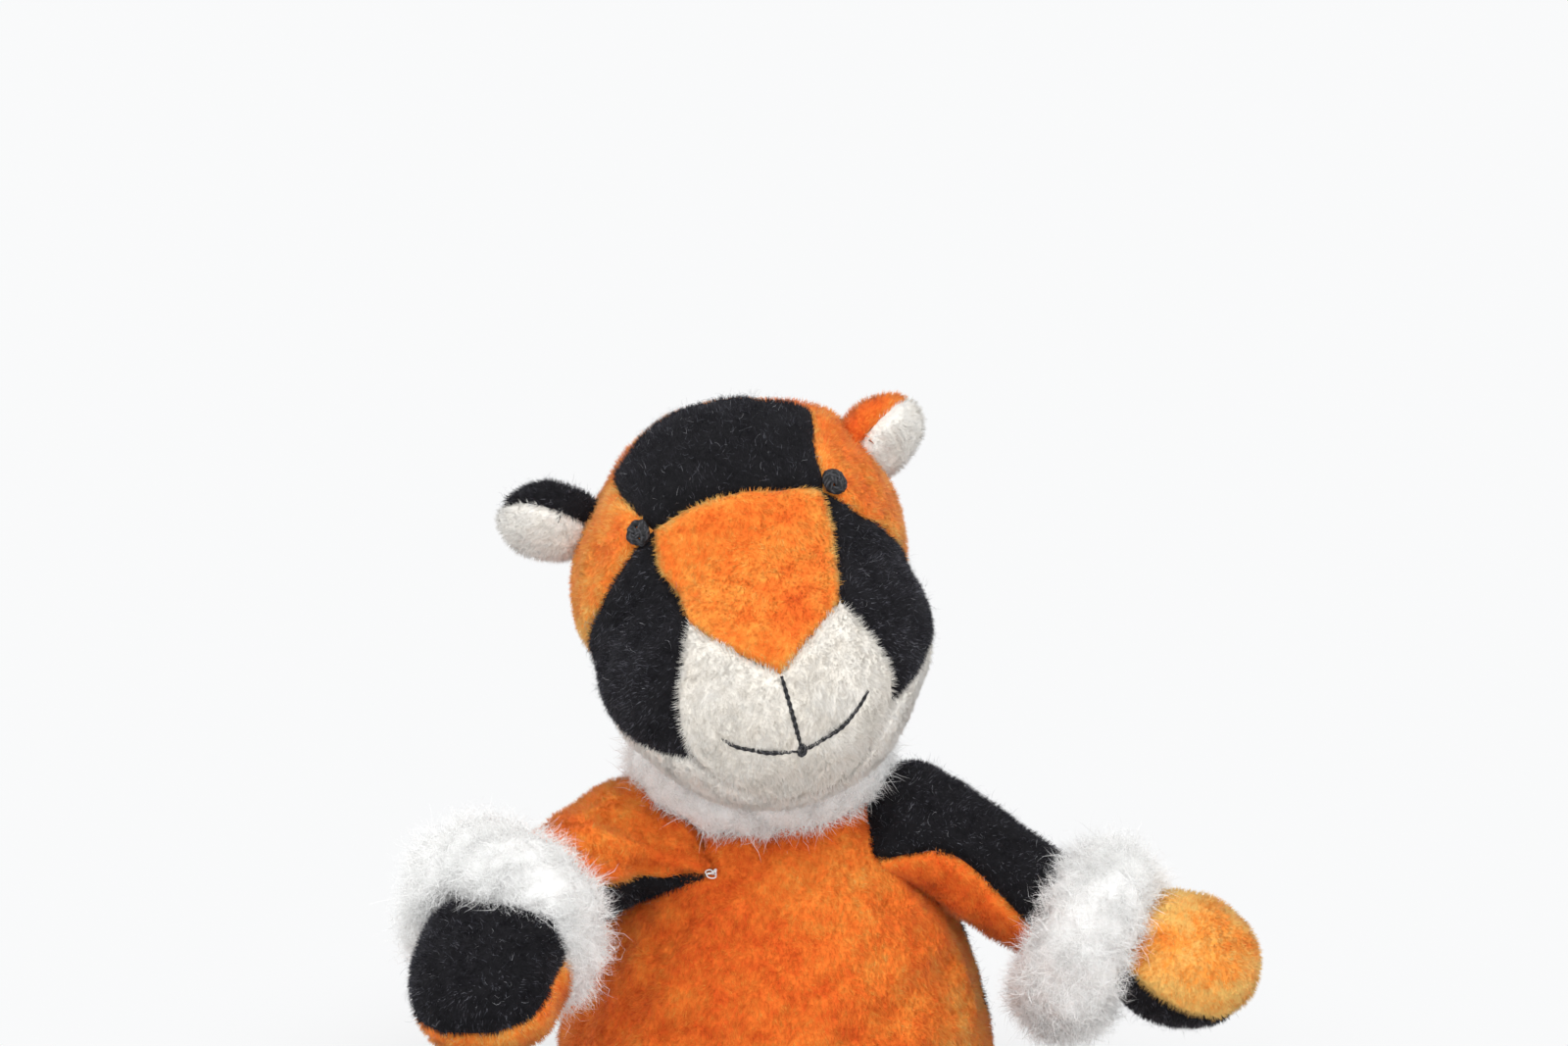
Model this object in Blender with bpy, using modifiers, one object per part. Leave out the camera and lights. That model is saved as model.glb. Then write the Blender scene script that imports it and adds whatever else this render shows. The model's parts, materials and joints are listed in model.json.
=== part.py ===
"""Small seated plush tiger, sewn from short-pile patchwork over stuffing.

The origin is the middle of the flat seat. The toy looks along -Y, +X is to the right of
someone facing it, and +Z is up. Its head leans to one side, one arm reaches forward, the
other out to the side, and both legs lie forward along the ground. Every cloth panel is its
own shell round a stuffing solid. Head, arms, legs and tail turn on round roots.
"""
import bpy
import bmesh
import numpy as np
from math import asin, cos, pi, radians, sin
from mathutils import Matrix, Vector

# Cloth, seams and running gaps
cloth_wall = 0.0012
seam_gap = 0.0003
stuffing_gap = 0.0005
end_stuffing_depth = 0.0024
swing_gap = 0.0004
socket_gap = 0.0008
weld_size = 0.00001

# Body: a pear that swells over the seat and tapers to the neck
body_half_width = 0.038
body_depth_share = 0.9
body_height = 0.072
body_outline_shares = ((0.0, 0.85), (0.1, 0.955), (0.24, 1.0), (0.4, 0.985), (0.62, 0.86), (0.82, 0.665), (1.0, 0.44))
seat_lift = 0.0014
seat_flat_share = 0.8
pouch_half_width = 0.030
pouch_height = 0.0115
knot_radius = 0.0013
knot_height_share = 0.82
knot_round_degrees = -28.0

# Head: a round skull with a muzzle almost as wide, leaning towards the left arm
body_top = Vector((0.0, 0.0, body_height))
head_offset = Vector((-0.006, -0.004, 0.038))
head_centre = body_top + head_offset
head_turned_degrees = 6.0
head_leaned_degrees = -15.0
head_bowed_degrees = 12.0
skull_centre = (0.0, 0.002, 0.001)
skull_half_sizes = (0.029, 0.028, 0.027)
muzzle_centre = (0.0, -0.020, -0.0115)
muzzle_half_sizes = (0.0288, 0.026, 0.0215)
lobe_blend_size = 0.003
nod_degrees = (-12.0, 3.0)
head_stuffing_depth = 0.0036

# Ears, eyes and mouth
ear_place = Vector((0.0297, 0.0073, 0.0140))
ear_half_sizes = (0.0092, 0.0090, 0.0052)
ear_down_degrees = 32.0
ear_out_degrees = 24.0
eye_radius = 0.0024
eye_height = 0.0012
thread_radius = 0.00045
stitch_point_count = 14

# Neck: a plug of stuffing with a fluffy ruff round it
neck_plug_radius = 0.0125
neck_plug_height = 0.018
ruff_radius = 0.0232
ruff_height = 0.0165

# Arms: from the shoulder ball along a sleeve to a fluffy cuff and a paw
left_shoulder_offset = Vector((-0.0250, -0.0090, -0.0085))
left_wrist_offset = Vector((-0.0195, -0.0247, -0.0070))
left_paw_offset = Vector((-0.0022, -0.0112, -0.0066))
right_shoulder_offset = Vector((0.0265, -0.0050, -0.0085))
right_wrist_offset = Vector((0.0275, -0.0070, -0.0168))
right_paw_offset = Vector((0.0160, -0.0038, -0.0032))
left_shoulder = body_top + left_shoulder_offset
left_wrist = left_shoulder + left_wrist_offset
left_paw_centre = left_wrist + left_paw_offset
right_shoulder = body_top + right_shoulder_offset
right_wrist = right_shoulder + right_wrist_offset
right_paw_centre = right_wrist + right_paw_offset
paw_half_sizes = (0.0124, 0.0104, 0.0145)
shoulder_ball_radius = 0.0099
arm_swing_degrees = 30.0
arm_down_degrees = 5.0
arm_radii = (0.0092, 0.0080)
arm_cuff_radius = 0.0165
arm_cuff_half_width = 0.0085
left_sleeve_seam_degrees = -30.0
left_paw_seam_degrees = 8.0
right_sleeve_seam_degrees = 26.0
right_paw_seam_degrees = 26.0

# Legs: the same make, thicker, lying forward along the ground
left_hip = Vector((-0.0290, -0.0210, 0.0134))
left_ankle_offset = Vector((-0.0135, -0.0267, 0.0006))
left_foot_offset = Vector((-0.0055, -0.0123, 0.0060))
left_ankle = left_hip + left_ankle_offset
left_foot_centre = left_ankle + left_foot_offset
right_hip = Vector((0.0290, -0.0210, 0.0134))
right_ankle_offset = Vector((0.0135, -0.0267, 0.0006))
right_foot_offset = Vector((0.0055, -0.0123, 0.0060))
right_ankle = right_hip + right_ankle_offset
right_foot_centre = right_ankle + right_foot_offset
foot_half_sizes = (0.0125, 0.0120, 0.0155)
hip_ball_radius = 0.0125
leg_swing_degrees = 15.0
leg_radii = (0.0112, 0.0092)
leg_cuff_radius = 0.0165
leg_cuff_half_width = 0.0080
leg_seam_degrees = 10.0
sleeve_tuck = 0.004
ground_clearance = 0.0006

# Tail: a slim bent tube from the back of the seat
tail_root = Vector((0.0, 0.0315, 0.0095))
tail_bend_offset = Vector((0.002, 0.0245, -0.0035))
tail_end_offset = Vector((0.0270, 0.0315, -0.0041))
tail_bend = tail_root + tail_bend_offset
tail_end = tail_root + tail_end_offset
tail_radius = 0.0045
tail_ball_radius = 0.0050
tail_swing_degrees = 25.0

# Mesh counts
ring_steps = 16
ball_steps = 20
head_steps = 32
socket_steps = 20
fine_socket_steps = 28
body_rows = 8
body_columns = 12
root_rows = 4
root_open_degrees = 75.0
sleeve_rows = 3
sleeve_columns = 6
tail_rows = 5
bowl_cells = 6

colours = {
    "orange_pile": (0.83, 0.30, 0.055, 1.0),
    "black_pile": (0.022, 0.021, 0.028, 1.0),
    "white_pile": (0.84, 0.80, 0.74, 1.0),
    "white_fluff": (0.90, 0.90, 0.90, 1.0),
    "stuffing_fibre": (0.86, 0.86, 0.84, 1.0),
    "pouch_cloth": (0.72, 0.68, 0.60, 1.0),
    "black_thread": (0.015, 0.015, 0.017, 1.0),
}
materials = {}


def clear_scene():
    """Empty the open file of objects."""
    for thing in list(bpy.data.objects):
        bpy.data.objects.remove(thing, do_unlink=True)


def finish_material(slot):
    """One Principled material for each kind of cloth or fibre."""
    if slot not in materials:
        material = bpy.data.materials.new(slot)
        material.use_nodes = True
        shader = material.node_tree.nodes["Principled BSDF"]
        shader.inputs["Base Color"].default_value = colours[slot]
        shader.inputs["Roughness"].default_value = 0.95
        shader.inputs["Metallic"].default_value = 0.0
        materials[slot] = material
    return materials[slot]


def collection_named(name):
    """A collection in the scene, made on first use."""
    if name not in bpy.data.collections:
        made = bpy.data.collections.new(name)
        bpy.context.scene.collection.children.link(made)
    return bpy.data.collections[name]


def add_object(name, mesh, slot=None):
    """Put a mesh or curve in the scene: a part with its finish, or a hidden cutter."""
    thing = bpy.data.objects.new(name, mesh)
    if slot is None:
        thing.hide_render = True
        thing.display_type = "WIRE"
        collection_named("cutters").objects.link(thing)
    else:
        mesh.materials.append(finish_material(slot))
        collection_named("plush_tiger").objects.link(thing)
    return thing


def add_solid(name, bm, slot=None):
    """Turn a finished bmesh into a smooth-shaded object with its faces outwards."""
    bmesh.ops.recalc_face_normals(bm, faces=bm.faces[:])
    if bm.calc_volume(signed=True) < 0:
        bmesh.ops.reverse_faces(bm, faces=bm.faces[:])
    mesh = bpy.data.meshes.new(name)
    bm.to_mesh(mesh)
    bm.free()
    mesh.shade_smooth()
    return add_object(name, mesh, slot)


def cut_away(pieces, cutters):
    """Take each cutter's space out of each piece."""
    for piece in pieces:
        for cutter in cutters:
            cut = piece.modifiers.new("cut_" + cutter.name, "BOOLEAN")
            cut.operation = "DIFFERENCE"
            cut.solver = "EXACT"
            cut.object = cutter


def unit(vectors):
    """Rows of a numpy array, each at length one."""
    return vectors / np.linalg.norm(vectors, axis=-1, keepdims=True)


def turn_about(axis, degrees):
    """A 3 by 3 turning matrix about an axis."""
    return np.array(Matrix.Rotation(radians(degrees), 3, axis))


def smooth_line(points, count):
    """Points along a Catmull-Rom curve through the given ones, ends included."""
    points = np.asarray(points, dtype=float)
    padded = np.vstack([2 * points[0] - points[1], points, 2 * points[-1] - points[-2]])
    spots = np.linspace(0, len(points) - 1, count)
    start = np.minimum(spots.astype(int), len(points) - 2)
    t = (spots - start)[:, None]
    a, b, c, d = (padded[start + step] for step in range(4))
    return 0.5 * (2 * b + (c - a) * t + (2 * a - 5 * b + 4 * c - d) * t ** 2 + (3 * b - a - 3 * c + d) * t ** 3)


def cloth_panel(name, slot, columns, rows, place):
    """A grid laid on a form by place(u, v, depth), then extruded inwards by the cloth's wall."""
    bm = bmesh.new()
    bmesh.ops.create_grid(bm, x_segments=columns, y_segments=rows, size=0.5)
    raised = bmesh.ops.extrude_face_region(bm, geom=bm.faces[:])
    inner = {item for item in raised["geom"] if isinstance(item, bmesh.types.BMVert)}
    verts = bm.verts[:]
    u_share = np.array([vert.co.x + 0.5 for vert in verts])
    v_share = np.array([vert.co.y + 0.5 for vert in verts])
    depth = np.array([cloth_wall if vert in inner else 0.0 for vert in verts])
    for vert, point in zip(verts, place(u_share, v_share, depth)):
        vert.co = point
    return add_solid(name, bm, slot)


def ball_solid(name, slot, place, steps=ball_steps):
    """A closed solid: a sphere's directions, each put where place(directions) says."""
    bm = bmesh.new()
    bmesh.ops.create_uvsphere(bm, u_segments=steps, v_segments=steps * 5 // 8, radius=1.0)
    verts = bm.verts[:]
    directions = unit(np.array([vert.co[:] for vert in verts]))
    for vert, point in zip(verts, place(directions)):
        vert.co = point
    return add_solid(name, bm, slot)


def socket_cutter(name, centre, radius, steps=socket_steps):
    """A plain sphere that cuts a round root's socket."""
    return ball_solid(name, None, lambda directions: np.array(centre) + directions * radius, steps)


def turned_solid(name, slot, outline, frame, depth_share=1.0, steps=ring_steps):
    """A profile of (radius, height) points, top first, turned about its own axis with Screw."""
    profile = bpy.data.meshes.new(name + "_profile")
    points = [(radius, 0.0, height) for radius, height in outline]
    profile.from_pydata(points, [(k, k + 1) for k in range(len(points) - 1)], [])
    turned = bpy.data.objects.new(name + "_profile", profile)
    bpy.context.scene.collection.objects.link(turned)
    screw = turned.modifiers.new("turn", "SCREW")
    screw.steps = steps
    screw.render_steps = steps
    screw.use_merge_vertices = True
    screw.merge_threshold = weld_size
    bm = bmesh.new()
    bm.from_mesh(turned.evaluated_get(bpy.context.evaluated_depsgraph_get()).data)
    bpy.data.objects.remove(turned, do_unlink=True)
    bmesh.ops.remove_doubles(bm, verts=bm.verts[:], dist=weld_size)
    bmesh.ops.scale(bm, vec=(1.0, depth_share, 1.0), verts=bm.verts[:])
    bmesh.ops.transform(bm, matrix=frame, verts=bm.verts[:])
    return add_solid(name, bm, slot)


def puffed_outline(radius, half_height, point_count=7, fullness=0.5):
    """A cushion-like profile: full at the middle height and rounded to the axis."""
    turns = np.linspace(pi / 2, -pi / 2, point_count)
    return [(radius * max(cos(turn), 0.0) ** fullness, half_height * sin(turn)) for turn in turns]


# Head

head_frame = (
    turn_about("Z", head_turned_degrees)
    @ turn_about("Y", head_leaned_degrees)
    @ turn_about("X", head_bowed_degrees)
)
skull_middle = Vector(np.array(head_centre) + head_frame @ np.array(skull_centre))


def lobe_reach(directions, centre, half_sizes):
    """How far an ellipsoid's wall lies from the head's centre along each direction."""
    sizes = np.array(half_sizes)
    stretched = directions / sizes
    offset = np.array(centre) / sizes
    square = (stretched * stretched).sum(-1)
    along = stretched @ offset
    return (along + np.sqrt(np.maximum(along * along - square * (offset @ offset - 1), 0))) / square


def head_reach(directions):
    """The skull's and the muzzle's walls, blended where they meet."""
    skull = lobe_reach(directions, skull_centre, skull_half_sizes) / lobe_blend_size
    muzzle = lobe_reach(directions, muzzle_centre, muzzle_half_sizes) / lobe_blend_size
    return np.logaddexp(skull, muzzle) * lobe_blend_size


def head_point(directions, depth=0.0):
    """Points on the head's form, that far under its outside."""
    reach = head_reach(directions) - depth
    return np.array(head_centre) + (directions * reach[..., None]) @ head_frame.T


def nodded_head_cutter(name, gap, degrees):
    """The head's form grown by a gap and nodded about the middle of the skull."""
    nod = turn_about("X", degrees)
    middle = np.array(skull_middle)
    return ball_solid(name, None, lambda lines: middle + (head_point(lines, -gap) - middle) @ nod.T, head_steps)


def aim(angles):
    """Directions from the head's centre: degrees round from the nose, then degrees up."""
    side, up = np.radians(np.asarray(angles, dtype=float)).T
    return np.stack([np.sin(side) * np.cos(up), -np.cos(side) * np.cos(up), np.sin(up)], -1)


def seam(angles, steps):
    """A seam on the head through (round, up) angles, as steps + 1 directions."""
    return unit(smooth_line(aim(angles), steps + 1))


def mirrored(line):
    """The same seam on the other side of the face."""
    return line * np.array([-1.0, 1.0, 1.0])


def joined(*lines):
    """Seams end to end, without doubling the shared points."""
    return np.vstack([lines[0]] + [line[1:] for line in lines[1:]])


def lie_flat(directions, middle, sideways, upwards):
    """Directions as points of a map about its middle, at their true angle from it."""
    away = np.arccos(np.clip(directions @ middle, -1, 1))
    flat = np.stack([directions @ sideways, directions @ upwards], -1)
    return flat / np.maximum(np.linalg.norm(flat, axis=-1, keepdims=True), 1e-12) * away[..., None]


def rise_again(flat, middle, sideways, upwards):
    """The map's points as directions."""
    away = np.linalg.norm(flat, axis=-1, keepdims=True)
    spread = np.sinc(away / pi)
    return np.cos(away) * middle + spread * (flat[..., :1] * sideways + flat[..., 1:] * upwards)


def drawn_in(loop, amounts):
    """A closed loop of map points moved inwards, each by its amount, with mitred corners."""
    before = unit(loop - np.roll(loop, 1, 0))
    after = np.roll(before, -1, 0)
    following = np.roll(loop, -1, 0)
    turning = np.sign((loop[:, 0] * following[:, 1] - loop[:, 1] * following[:, 0]).sum())
    in_before = turning * np.stack([-before[:, 1], before[:, 0]], -1)
    in_after = turning * np.stack([-after[:, 1], after[:, 0]], -1)
    opening = np.maximum(1 + (in_before * in_after).sum(-1, keepdims=True), 0.4)
    return loop + amounts[:, None] * (in_before + in_after) / opening


def head_panel(name, slot, top, right, bottom, left):
    """One cloth panel between four seams, drawn in by half a seam gap.

    The seams are laid flat about the panel's middle, moved inwards, filled between as a
    Coons patch and thrown back on the head's form.
    """
    columns, rows = len(top) - 1, len(left) - 1
    loop = np.vstack([top[:-1], right[:-1], bottom[::-1][:-1], left[::-1][:-1]])
    middle = unit(loop.mean(0))
    sideways = unit(np.cross(head_up, middle))
    upwards = np.cross(middle, sideways)
    flat = drawn_in(lie_flat(loop, middle, sideways, upwards), seam_gap / 2 / head_reach(loop))
    turn = columns + rows
    top, right = flat[:columns + 1], flat[columns:turn + 1]
    bottom = flat[turn:turn + columns + 1][::-1]
    left = np.vstack([flat[turn + columns:], flat[:1]])[::-1]
    u = np.linspace(0, 1, columns + 1)[None, :, None]
    v = np.linspace(0, 1, rows + 1)[:, None, None]
    ruled = (1 - v) * top[None] + v * bottom[None] + (1 - u) * left[:, None] + u * right[:, None]
    corners = (1 - v) * ((1 - u) * top[0] + u * top[-1]) + v * ((1 - u) * bottom[0] + u * bottom[-1])
    patch = unit(rise_again(ruled - corners, middle, sideways, upwards))

    def place(u_share, v_share, depth):
        column = np.rint(u_share * columns).astype(int)
        row = np.rint(v_share * rows).astype(int)
        return head_point(patch[row, column], depth)

    return cloth_panel(name, slot, columns, rows, place)


head_up = np.array([0.0, 0.02, 1.0])

# Seams of the left half as (round, up) angles, negative round being the left
brow_seam = seam([(-41.5, 36), (-16, 45.5), (0, 47), (16, 45.5), (41.5, 36)], 8)
temple_seam = seam([(-107, 48), (-63, 47.5), (-41.5, 36)], 4)
crown_seam = seam([(-107, 48), (-140, 58), (-180, 64)], 4)
bridge_side_seam = seam([(-41.5, 36), (-36.5, 19), (-22, 7)], 5)
bridge_tip_seam = seam([(-22, 7), (-9.5, 3), (0, -2)], 4)
cheek_outer_seam = seam([(-41.5, 36), (-54, 22), (-68, 6), (-80, -10), (-73, -24)], 6)
cheek_inner_seam = seam([(-22, 7), (-24, -2), (-25, -9), (-24, -17.5)], 6)
cheek_low_seam = seam([(-73, -24), (-48, -20.5), (-24, -17.5)], 5)
chin_seam = seam([(-24, -17.5), (-10, -32), (0, -35), (10, -32), (24, -17.5)], 8)
jaw_seam = seam([(-73, -24), (-72, -50), (-70, -78)], 4)
ear_seam = seam([(-107, 48), (-110, 20), (-115, -20), (-120, -50), (-120, -78)], 10)
back_seam = seam([(-180, 64), (-180, 20), (-180, -30), (-180, -78)], 10)
throat_front_seam = seam([(-70, -78), (-35, -78), (0, -78), (35, -78), (70, -78)], 18)
throat_side_seam = seam([(-120, -78), (-95, -78), (-70, -78)], 4)
throat_back_seam = seam([(-120, -78), (-150, -78), (-180, -78)], 4)


def make_head():
    """Patchwork panels of the head, its stuffing, ears, eyes and sewn mouth."""
    lower_brow = joined(bridge_tip_seam, mirrored(bridge_tip_seam)[::-1])
    crown = joined(crown_seam, mirrored(crown_seam)[::-1])
    jaw_line = joined(cheek_low_seam, chin_seam, mirrored(cheek_low_seam)[::-1])
    head_panel("forehead_patch", "black_pile", crown, mirrored(temple_seam), brow_seam, temple_seam)
    head_panel("muzzle_bridge", "orange_pile", brow_seam, mirrored(bridge_side_seam), lower_brow, bridge_side_seam)
    head_panel("muzzle_front", "white_pile", lower_brow, mirrored(cheek_inner_seam), chin_seam, cheek_inner_seam)
    head_panel("chin_gusset", "white_pile", jaw_line, mirrored(jaw_seam), throat_front_seam, jaw_seam)
    for side, across in (("left", lambda line: line), ("right", mirrored)):
        front_seam = across(joined(cheek_outer_seam, jaw_seam))
        head_panel(
            side + "_cheek", "black_pile",
            across(bridge_side_seam), across(cheek_inner_seam), across(cheek_low_seam), across(cheek_outer_seam))
        head_panel(
            side + "_head_side", "orange_pile",
            across(temple_seam), front_seam, across(throat_side_seam), across(ear_seam))
        head_panel(
            side + "_head_back", "orange_pile",
            across(crown_seam), across(back_seam), across(throat_back_seam), across(ear_seam))
    ball_solid("head_stuffing", "stuffing_fibre", lambda lines: head_point(lines, head_stuffing_depth), ball_steps)
    make_ears()
    make_eyes()
    make_mouth()


def make_ears():
    """Each ear is a puffy front and a coloured back, seamed round the rim and sewn to the head."""
    head_cutter = nodded_head_cutter("ear_seat_cutter", swing_gap, 0.0)
    for side, sign, back_slot in (("left", -1.0, "black_pile"), ("right", 1.0, "orange_pile")):
        place = np.array(ear_place) * np.array([sign, 1.0, 1.0])
        turn = turn_about("Z", sign * ear_out_degrees) @ turn_about("X", ear_down_degrees)
        across, tall, thick = ear_half_sizes
        for half, facing, slot in (("front", -1.0, "white_pile"), ("back", 1.0, back_slot)):
            bm = bmesh.new()
            bmesh.ops.create_uvsphere(bm, u_segments=ring_steps, v_segments=12, radius=1.0)
            bmesh.ops.bisect_plane(
                bm, geom=bm.verts[:] + bm.edges[:] + bm.faces[:], plane_co=(0, 0, seam_gap / 2 / thick),
                plane_no=(0, 0, 1), clear_inner=True)
            bmesh.ops.holes_fill(bm, edges=[edge for edge in bm.edges if edge.is_boundary])
            for vert in bm.verts:
                ear = turn @ np.array([across * vert.co.x, facing * thick * vert.co.z, tall * vert.co.y])
                vert.co = np.array(head_centre) + head_frame @ (place + ear)
            cut_away([add_solid(f"{side}_ear_{half}", bm, slot)], [head_cutter])


def surface_matrix(direction, lift):
    """A frame on the head's outside, its Z square to the surface, raised by lift."""
    step = 0.01
    aside = unit(np.cross(direction, head_up))
    above = np.cross(aside, direction)
    middle = head_point(direction)
    across = head_point(unit(direction + step * aside)) - middle
    rise = head_point(unit(direction + step * above)) - middle
    normal = unit(np.cross(across, rise))
    normal = normal * np.sign(normal @ (middle - np.array(head_centre)))
    matrix = Vector(normal).to_track_quat("Z", "Y").to_matrix().to_4x4()
    matrix.translation = Vector(middle + normal * lift)
    return matrix


def make_eyes():
    """Embroidered round eyes: low domes of black thread."""
    turns = np.linspace(pi / 2, 0, 5)
    outline = [(eye_radius * cos(turn), eye_height * sin(turn)) for turn in turns] + [(0.0, 0.0)]
    for side, sign in (("left", -1.0), ("right", 1.0)):
        direction = aim([(sign * 49, 37)])[0]
        turned_solid(side + "_eye", "black_thread", outline, surface_matrix(direction, stuffing_gap))


def sewn_line(name, directions):
    """A thread lying on the muzzle, as a round-section curve with filled ends."""
    curve = bpy.data.curves.new(name, "CURVE")
    curve.dimensions = "3D"
    curve.bevel_depth = thread_radius
    curve.bevel_resolution = 1
    curve.use_fill_caps = True
    points = head_point(directions, -(thread_radius + seam_gap))
    spline = curve.splines.new("POLY")
    spline.points.add(len(points) - 1)
    spline.points.foreach_set("co", np.hstack([points, np.ones((len(points), 1))]).ravel())
    return add_object(name, curve, "black_thread")


def make_mouth():
    """The upright stitch under the bridge's tip and the smile below it."""
    thread_degrees = float(np.degrees((2 * thread_radius + seam_gap) / head_reach(aim([(0, -17)])[0])))
    upright = [(0, -3.5), (0, -17 + thread_degrees)]
    smile = [(-17, -11), (-12, -14), (-6, -16), (0, -17), (6, -16), (12, -14), (17, -11)]
    sewn_line("mouth_upright", seam(upright, stitch_point_count // 2))
    sewn_line("mouth_smile", seam(smile, stitch_point_count))


# Body

def body_radius(share):
    """The body's half width at a share of its height."""
    outline = smooth_line(body_outline_shares, 60)
    return body_half_width * np.interp(share, outline[:, 0], outline[:, 1])


def body_point(round_angle, height, depth=0.0):
    """A point on the body's form: angle from +X, height over the seat, depth under the cloth."""
    radius = body_radius(height / body_height) - depth
    return np.stack(
        [radius * np.cos(round_angle), (radius * np.sin(round_angle)) * body_depth_share, height], -1)


def make_body():
    """Front and back panels, the flat seat, the bean pouch and the stuffing over it."""
    low = seat_lift + cloth_wall + seam_gap
    pieces = []
    for name, slot, first in (("body_front", "orange_pile", -pi), ("body_back", "black_pile", 0.0)):
        edge = seam_gap / 2 / float(body_radius(1.0))

        def place(u_share, v_share, depth, first=first):
            height = low + v_share * (body_height - low)
            return body_point(first + edge + u_share * (pi - 2 * edge), height, depth)

        pieces.append(cloth_panel(name, slot, body_columns, body_rows, place))

    seat_radius = float(body_radius(0.0))
    flat_radius = seat_radius * seat_flat_share
    seat_outline = [
        (0.0, cloth_wall), (flat_radius, cloth_wall), (seat_radius, seat_lift + cloth_wall),
        (seat_radius, seat_lift), (flat_radius, 0.0), (0.0, 0.0)]
    pieces.append(turned_solid("seat_panel", "black_pile", seat_outline, Matrix(), body_depth_share))

    pouch_middle = cloth_wall + seam_gap + pouch_height / 2
    pouch_outline = puffed_outline(pouch_half_width, pouch_height / 2)
    pouch_place = Matrix.Translation((0.0, 0.0, pouch_middle))
    pieces.append(turned_solid("bean_pouch", "pouch_cloth", pouch_outline, pouch_place, body_depth_share))

    floor = pouch_middle + pouch_height / 2 + seam_gap
    heights = np.linspace(body_height, floor, body_rows)
    inner = body_radius(heights / body_height) - cloth_wall - stuffing_gap
    stuffing_outline = [(0.0, body_height)] + list(zip(inner.tolist(), heights.tolist())) + [(0.0, floor)]
    pieces.append(turned_solid("body_stuffing", "stuffing_fibre", stuffing_outline, Matrix(), body_depth_share))

    knot_angle = radians(knot_round_degrees - 90.0)
    knot_spot = body_point(knot_angle, knot_height_share * body_height, -(knot_radius + seam_gap))
    ball_solid("chest_knot", "white_fluff", lambda lines: knot_spot + lines * knot_radius, 12)
    return pieces


def make_neck():
    """The neck's plug of stuffing and the fluffy ruff, both hollowed for the nodding head."""
    heads = [
        nodded_head_cutter(f"nodded_head_cutter_{index}", swing_gap, degrees)
        for index, degrees in enumerate((nod_degrees[0], 0.0, nod_degrees[1]))]
    low = body_height + seam_gap
    neck_plug_top = body_height + neck_plug_height
    plug_outline = [(0.0, neck_plug_top), (neck_plug_radius, neck_plug_top), (neck_plug_radius, low), (0.0, low)]
    plug = turned_solid("neck_stuffing", "stuffing_fibre", plug_outline, Matrix())
    grown = neck_plug_radius + seam_gap
    bore_outline = [(0.0, neck_plug_top), (grown, neck_plug_top), (grown, 0.0), (0.0, 0.0)]
    bore = turned_solid("ruff_bore_cutter", None, bore_outline, Matrix())
    ruff_place = Matrix.Translation((0.0, 0.0, low + ruff_height / 2))
    ruff = turned_solid("neck_ruff", "white_pile", puffed_outline(ruff_radius, ruff_height / 2), ruff_place)
    cut_away([plug], heads)
    cut_away([ruff], [bore] + heads)


# Limbs and tail: tubes that swell and taper, with a round root

def limb_frame(start, end, roll_degrees=0.0):
    """Rows of a limb's own directions: sideways, upwards and forward from start to end."""
    forward = (end - start).normalized()
    upwards = (Vector((0.0, 0.0, 1.0)) - forward * forward.z).normalized()
    roll = Matrix.Rotation(radians(roll_degrees), 3, forward)
    return np.array([roll @ upwards.cross(forward), roll @ upwards, forward])


def frame_matrix(centre, frame):
    """A 4 by 4 matrix from a centre and the rows of a frame."""
    matrix = Matrix(frame.tolist()).transposed().to_4x4()
    matrix.translation = centre
    return matrix


def straight_line(start, frame):
    """A function of length along a straight limb: the point there and its two cross directions."""
    return lambda along: (np.array(start) + along[:, None] * frame[2], frame[0], frame[1])


def bent_line(start, bend, end):
    """The same along a quadratic Bezier curve, running straight on past both its ends."""
    start, bend, end = np.array(start), np.array(bend), np.array(end)
    length = line_length(start, bend, end)

    def at(along):
        t = np.clip(along / length, 0, 1)[:, None]
        forward = unit(2 * (1 - t) * (bend - start) + 2 * t * (end - bend))
        middle = (1 - t) ** 2 * start + 2 * t * (1 - t) * bend + t ** 2 * end
        sideways = unit(np.cross((0.0, 0.0, 1.0), forward))
        return middle + (along[:, None] - t * length) * forward, sideways, np.cross(forward, sideways)

    return at


def line_length(start, bend, end):
    """Half way between a Bezier curve's chord and its legs, which is close to its length."""
    legs = np.linalg.norm(bend - start) + np.linalg.norm(end - bend)
    return float(legs + np.linalg.norm(end - start)) / 2


def round_root(ball, swing_degrees, open_degrees):
    """Stations of (along, radius) round a ball root, from its back to where the tube leaves it."""
    turns = np.radians(np.linspace(-open_degrees, swing_degrees, root_rows + 1))
    return [(ball * sin(turn), ball * cos(turn)) for turn in turns]


def tube_panels(names, slots, line, outer, inner, edge_radius):
    """A tube's cloth in an upper and an under half, seamed along both sides."""
    outer, inner = np.array(outer), np.array(inner)
    rows = len(outer) - 1
    edge = seam_gap / 2 / edge_radius
    made = []
    for name, slot, first in zip(names, slots, (0.0, pi)):

        def place(u_share, v_share, depth, first=first):
            row = np.rint(v_share * rows).astype(int)
            along, radius = np.where((depth > 0)[:, None], inner[row], outer[row]).T
            angle = first + edge + u_share * (pi - 2 * edge)
            middle, sideways, upwards = line(along)
            return middle + radius[:, None] * (
                np.cos(angle)[:, None] * sideways + np.sin(angle)[:, None] * upwards)

        made.append(cloth_panel(name, slot, sleeve_columns, rows, place))
    return made


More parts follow.
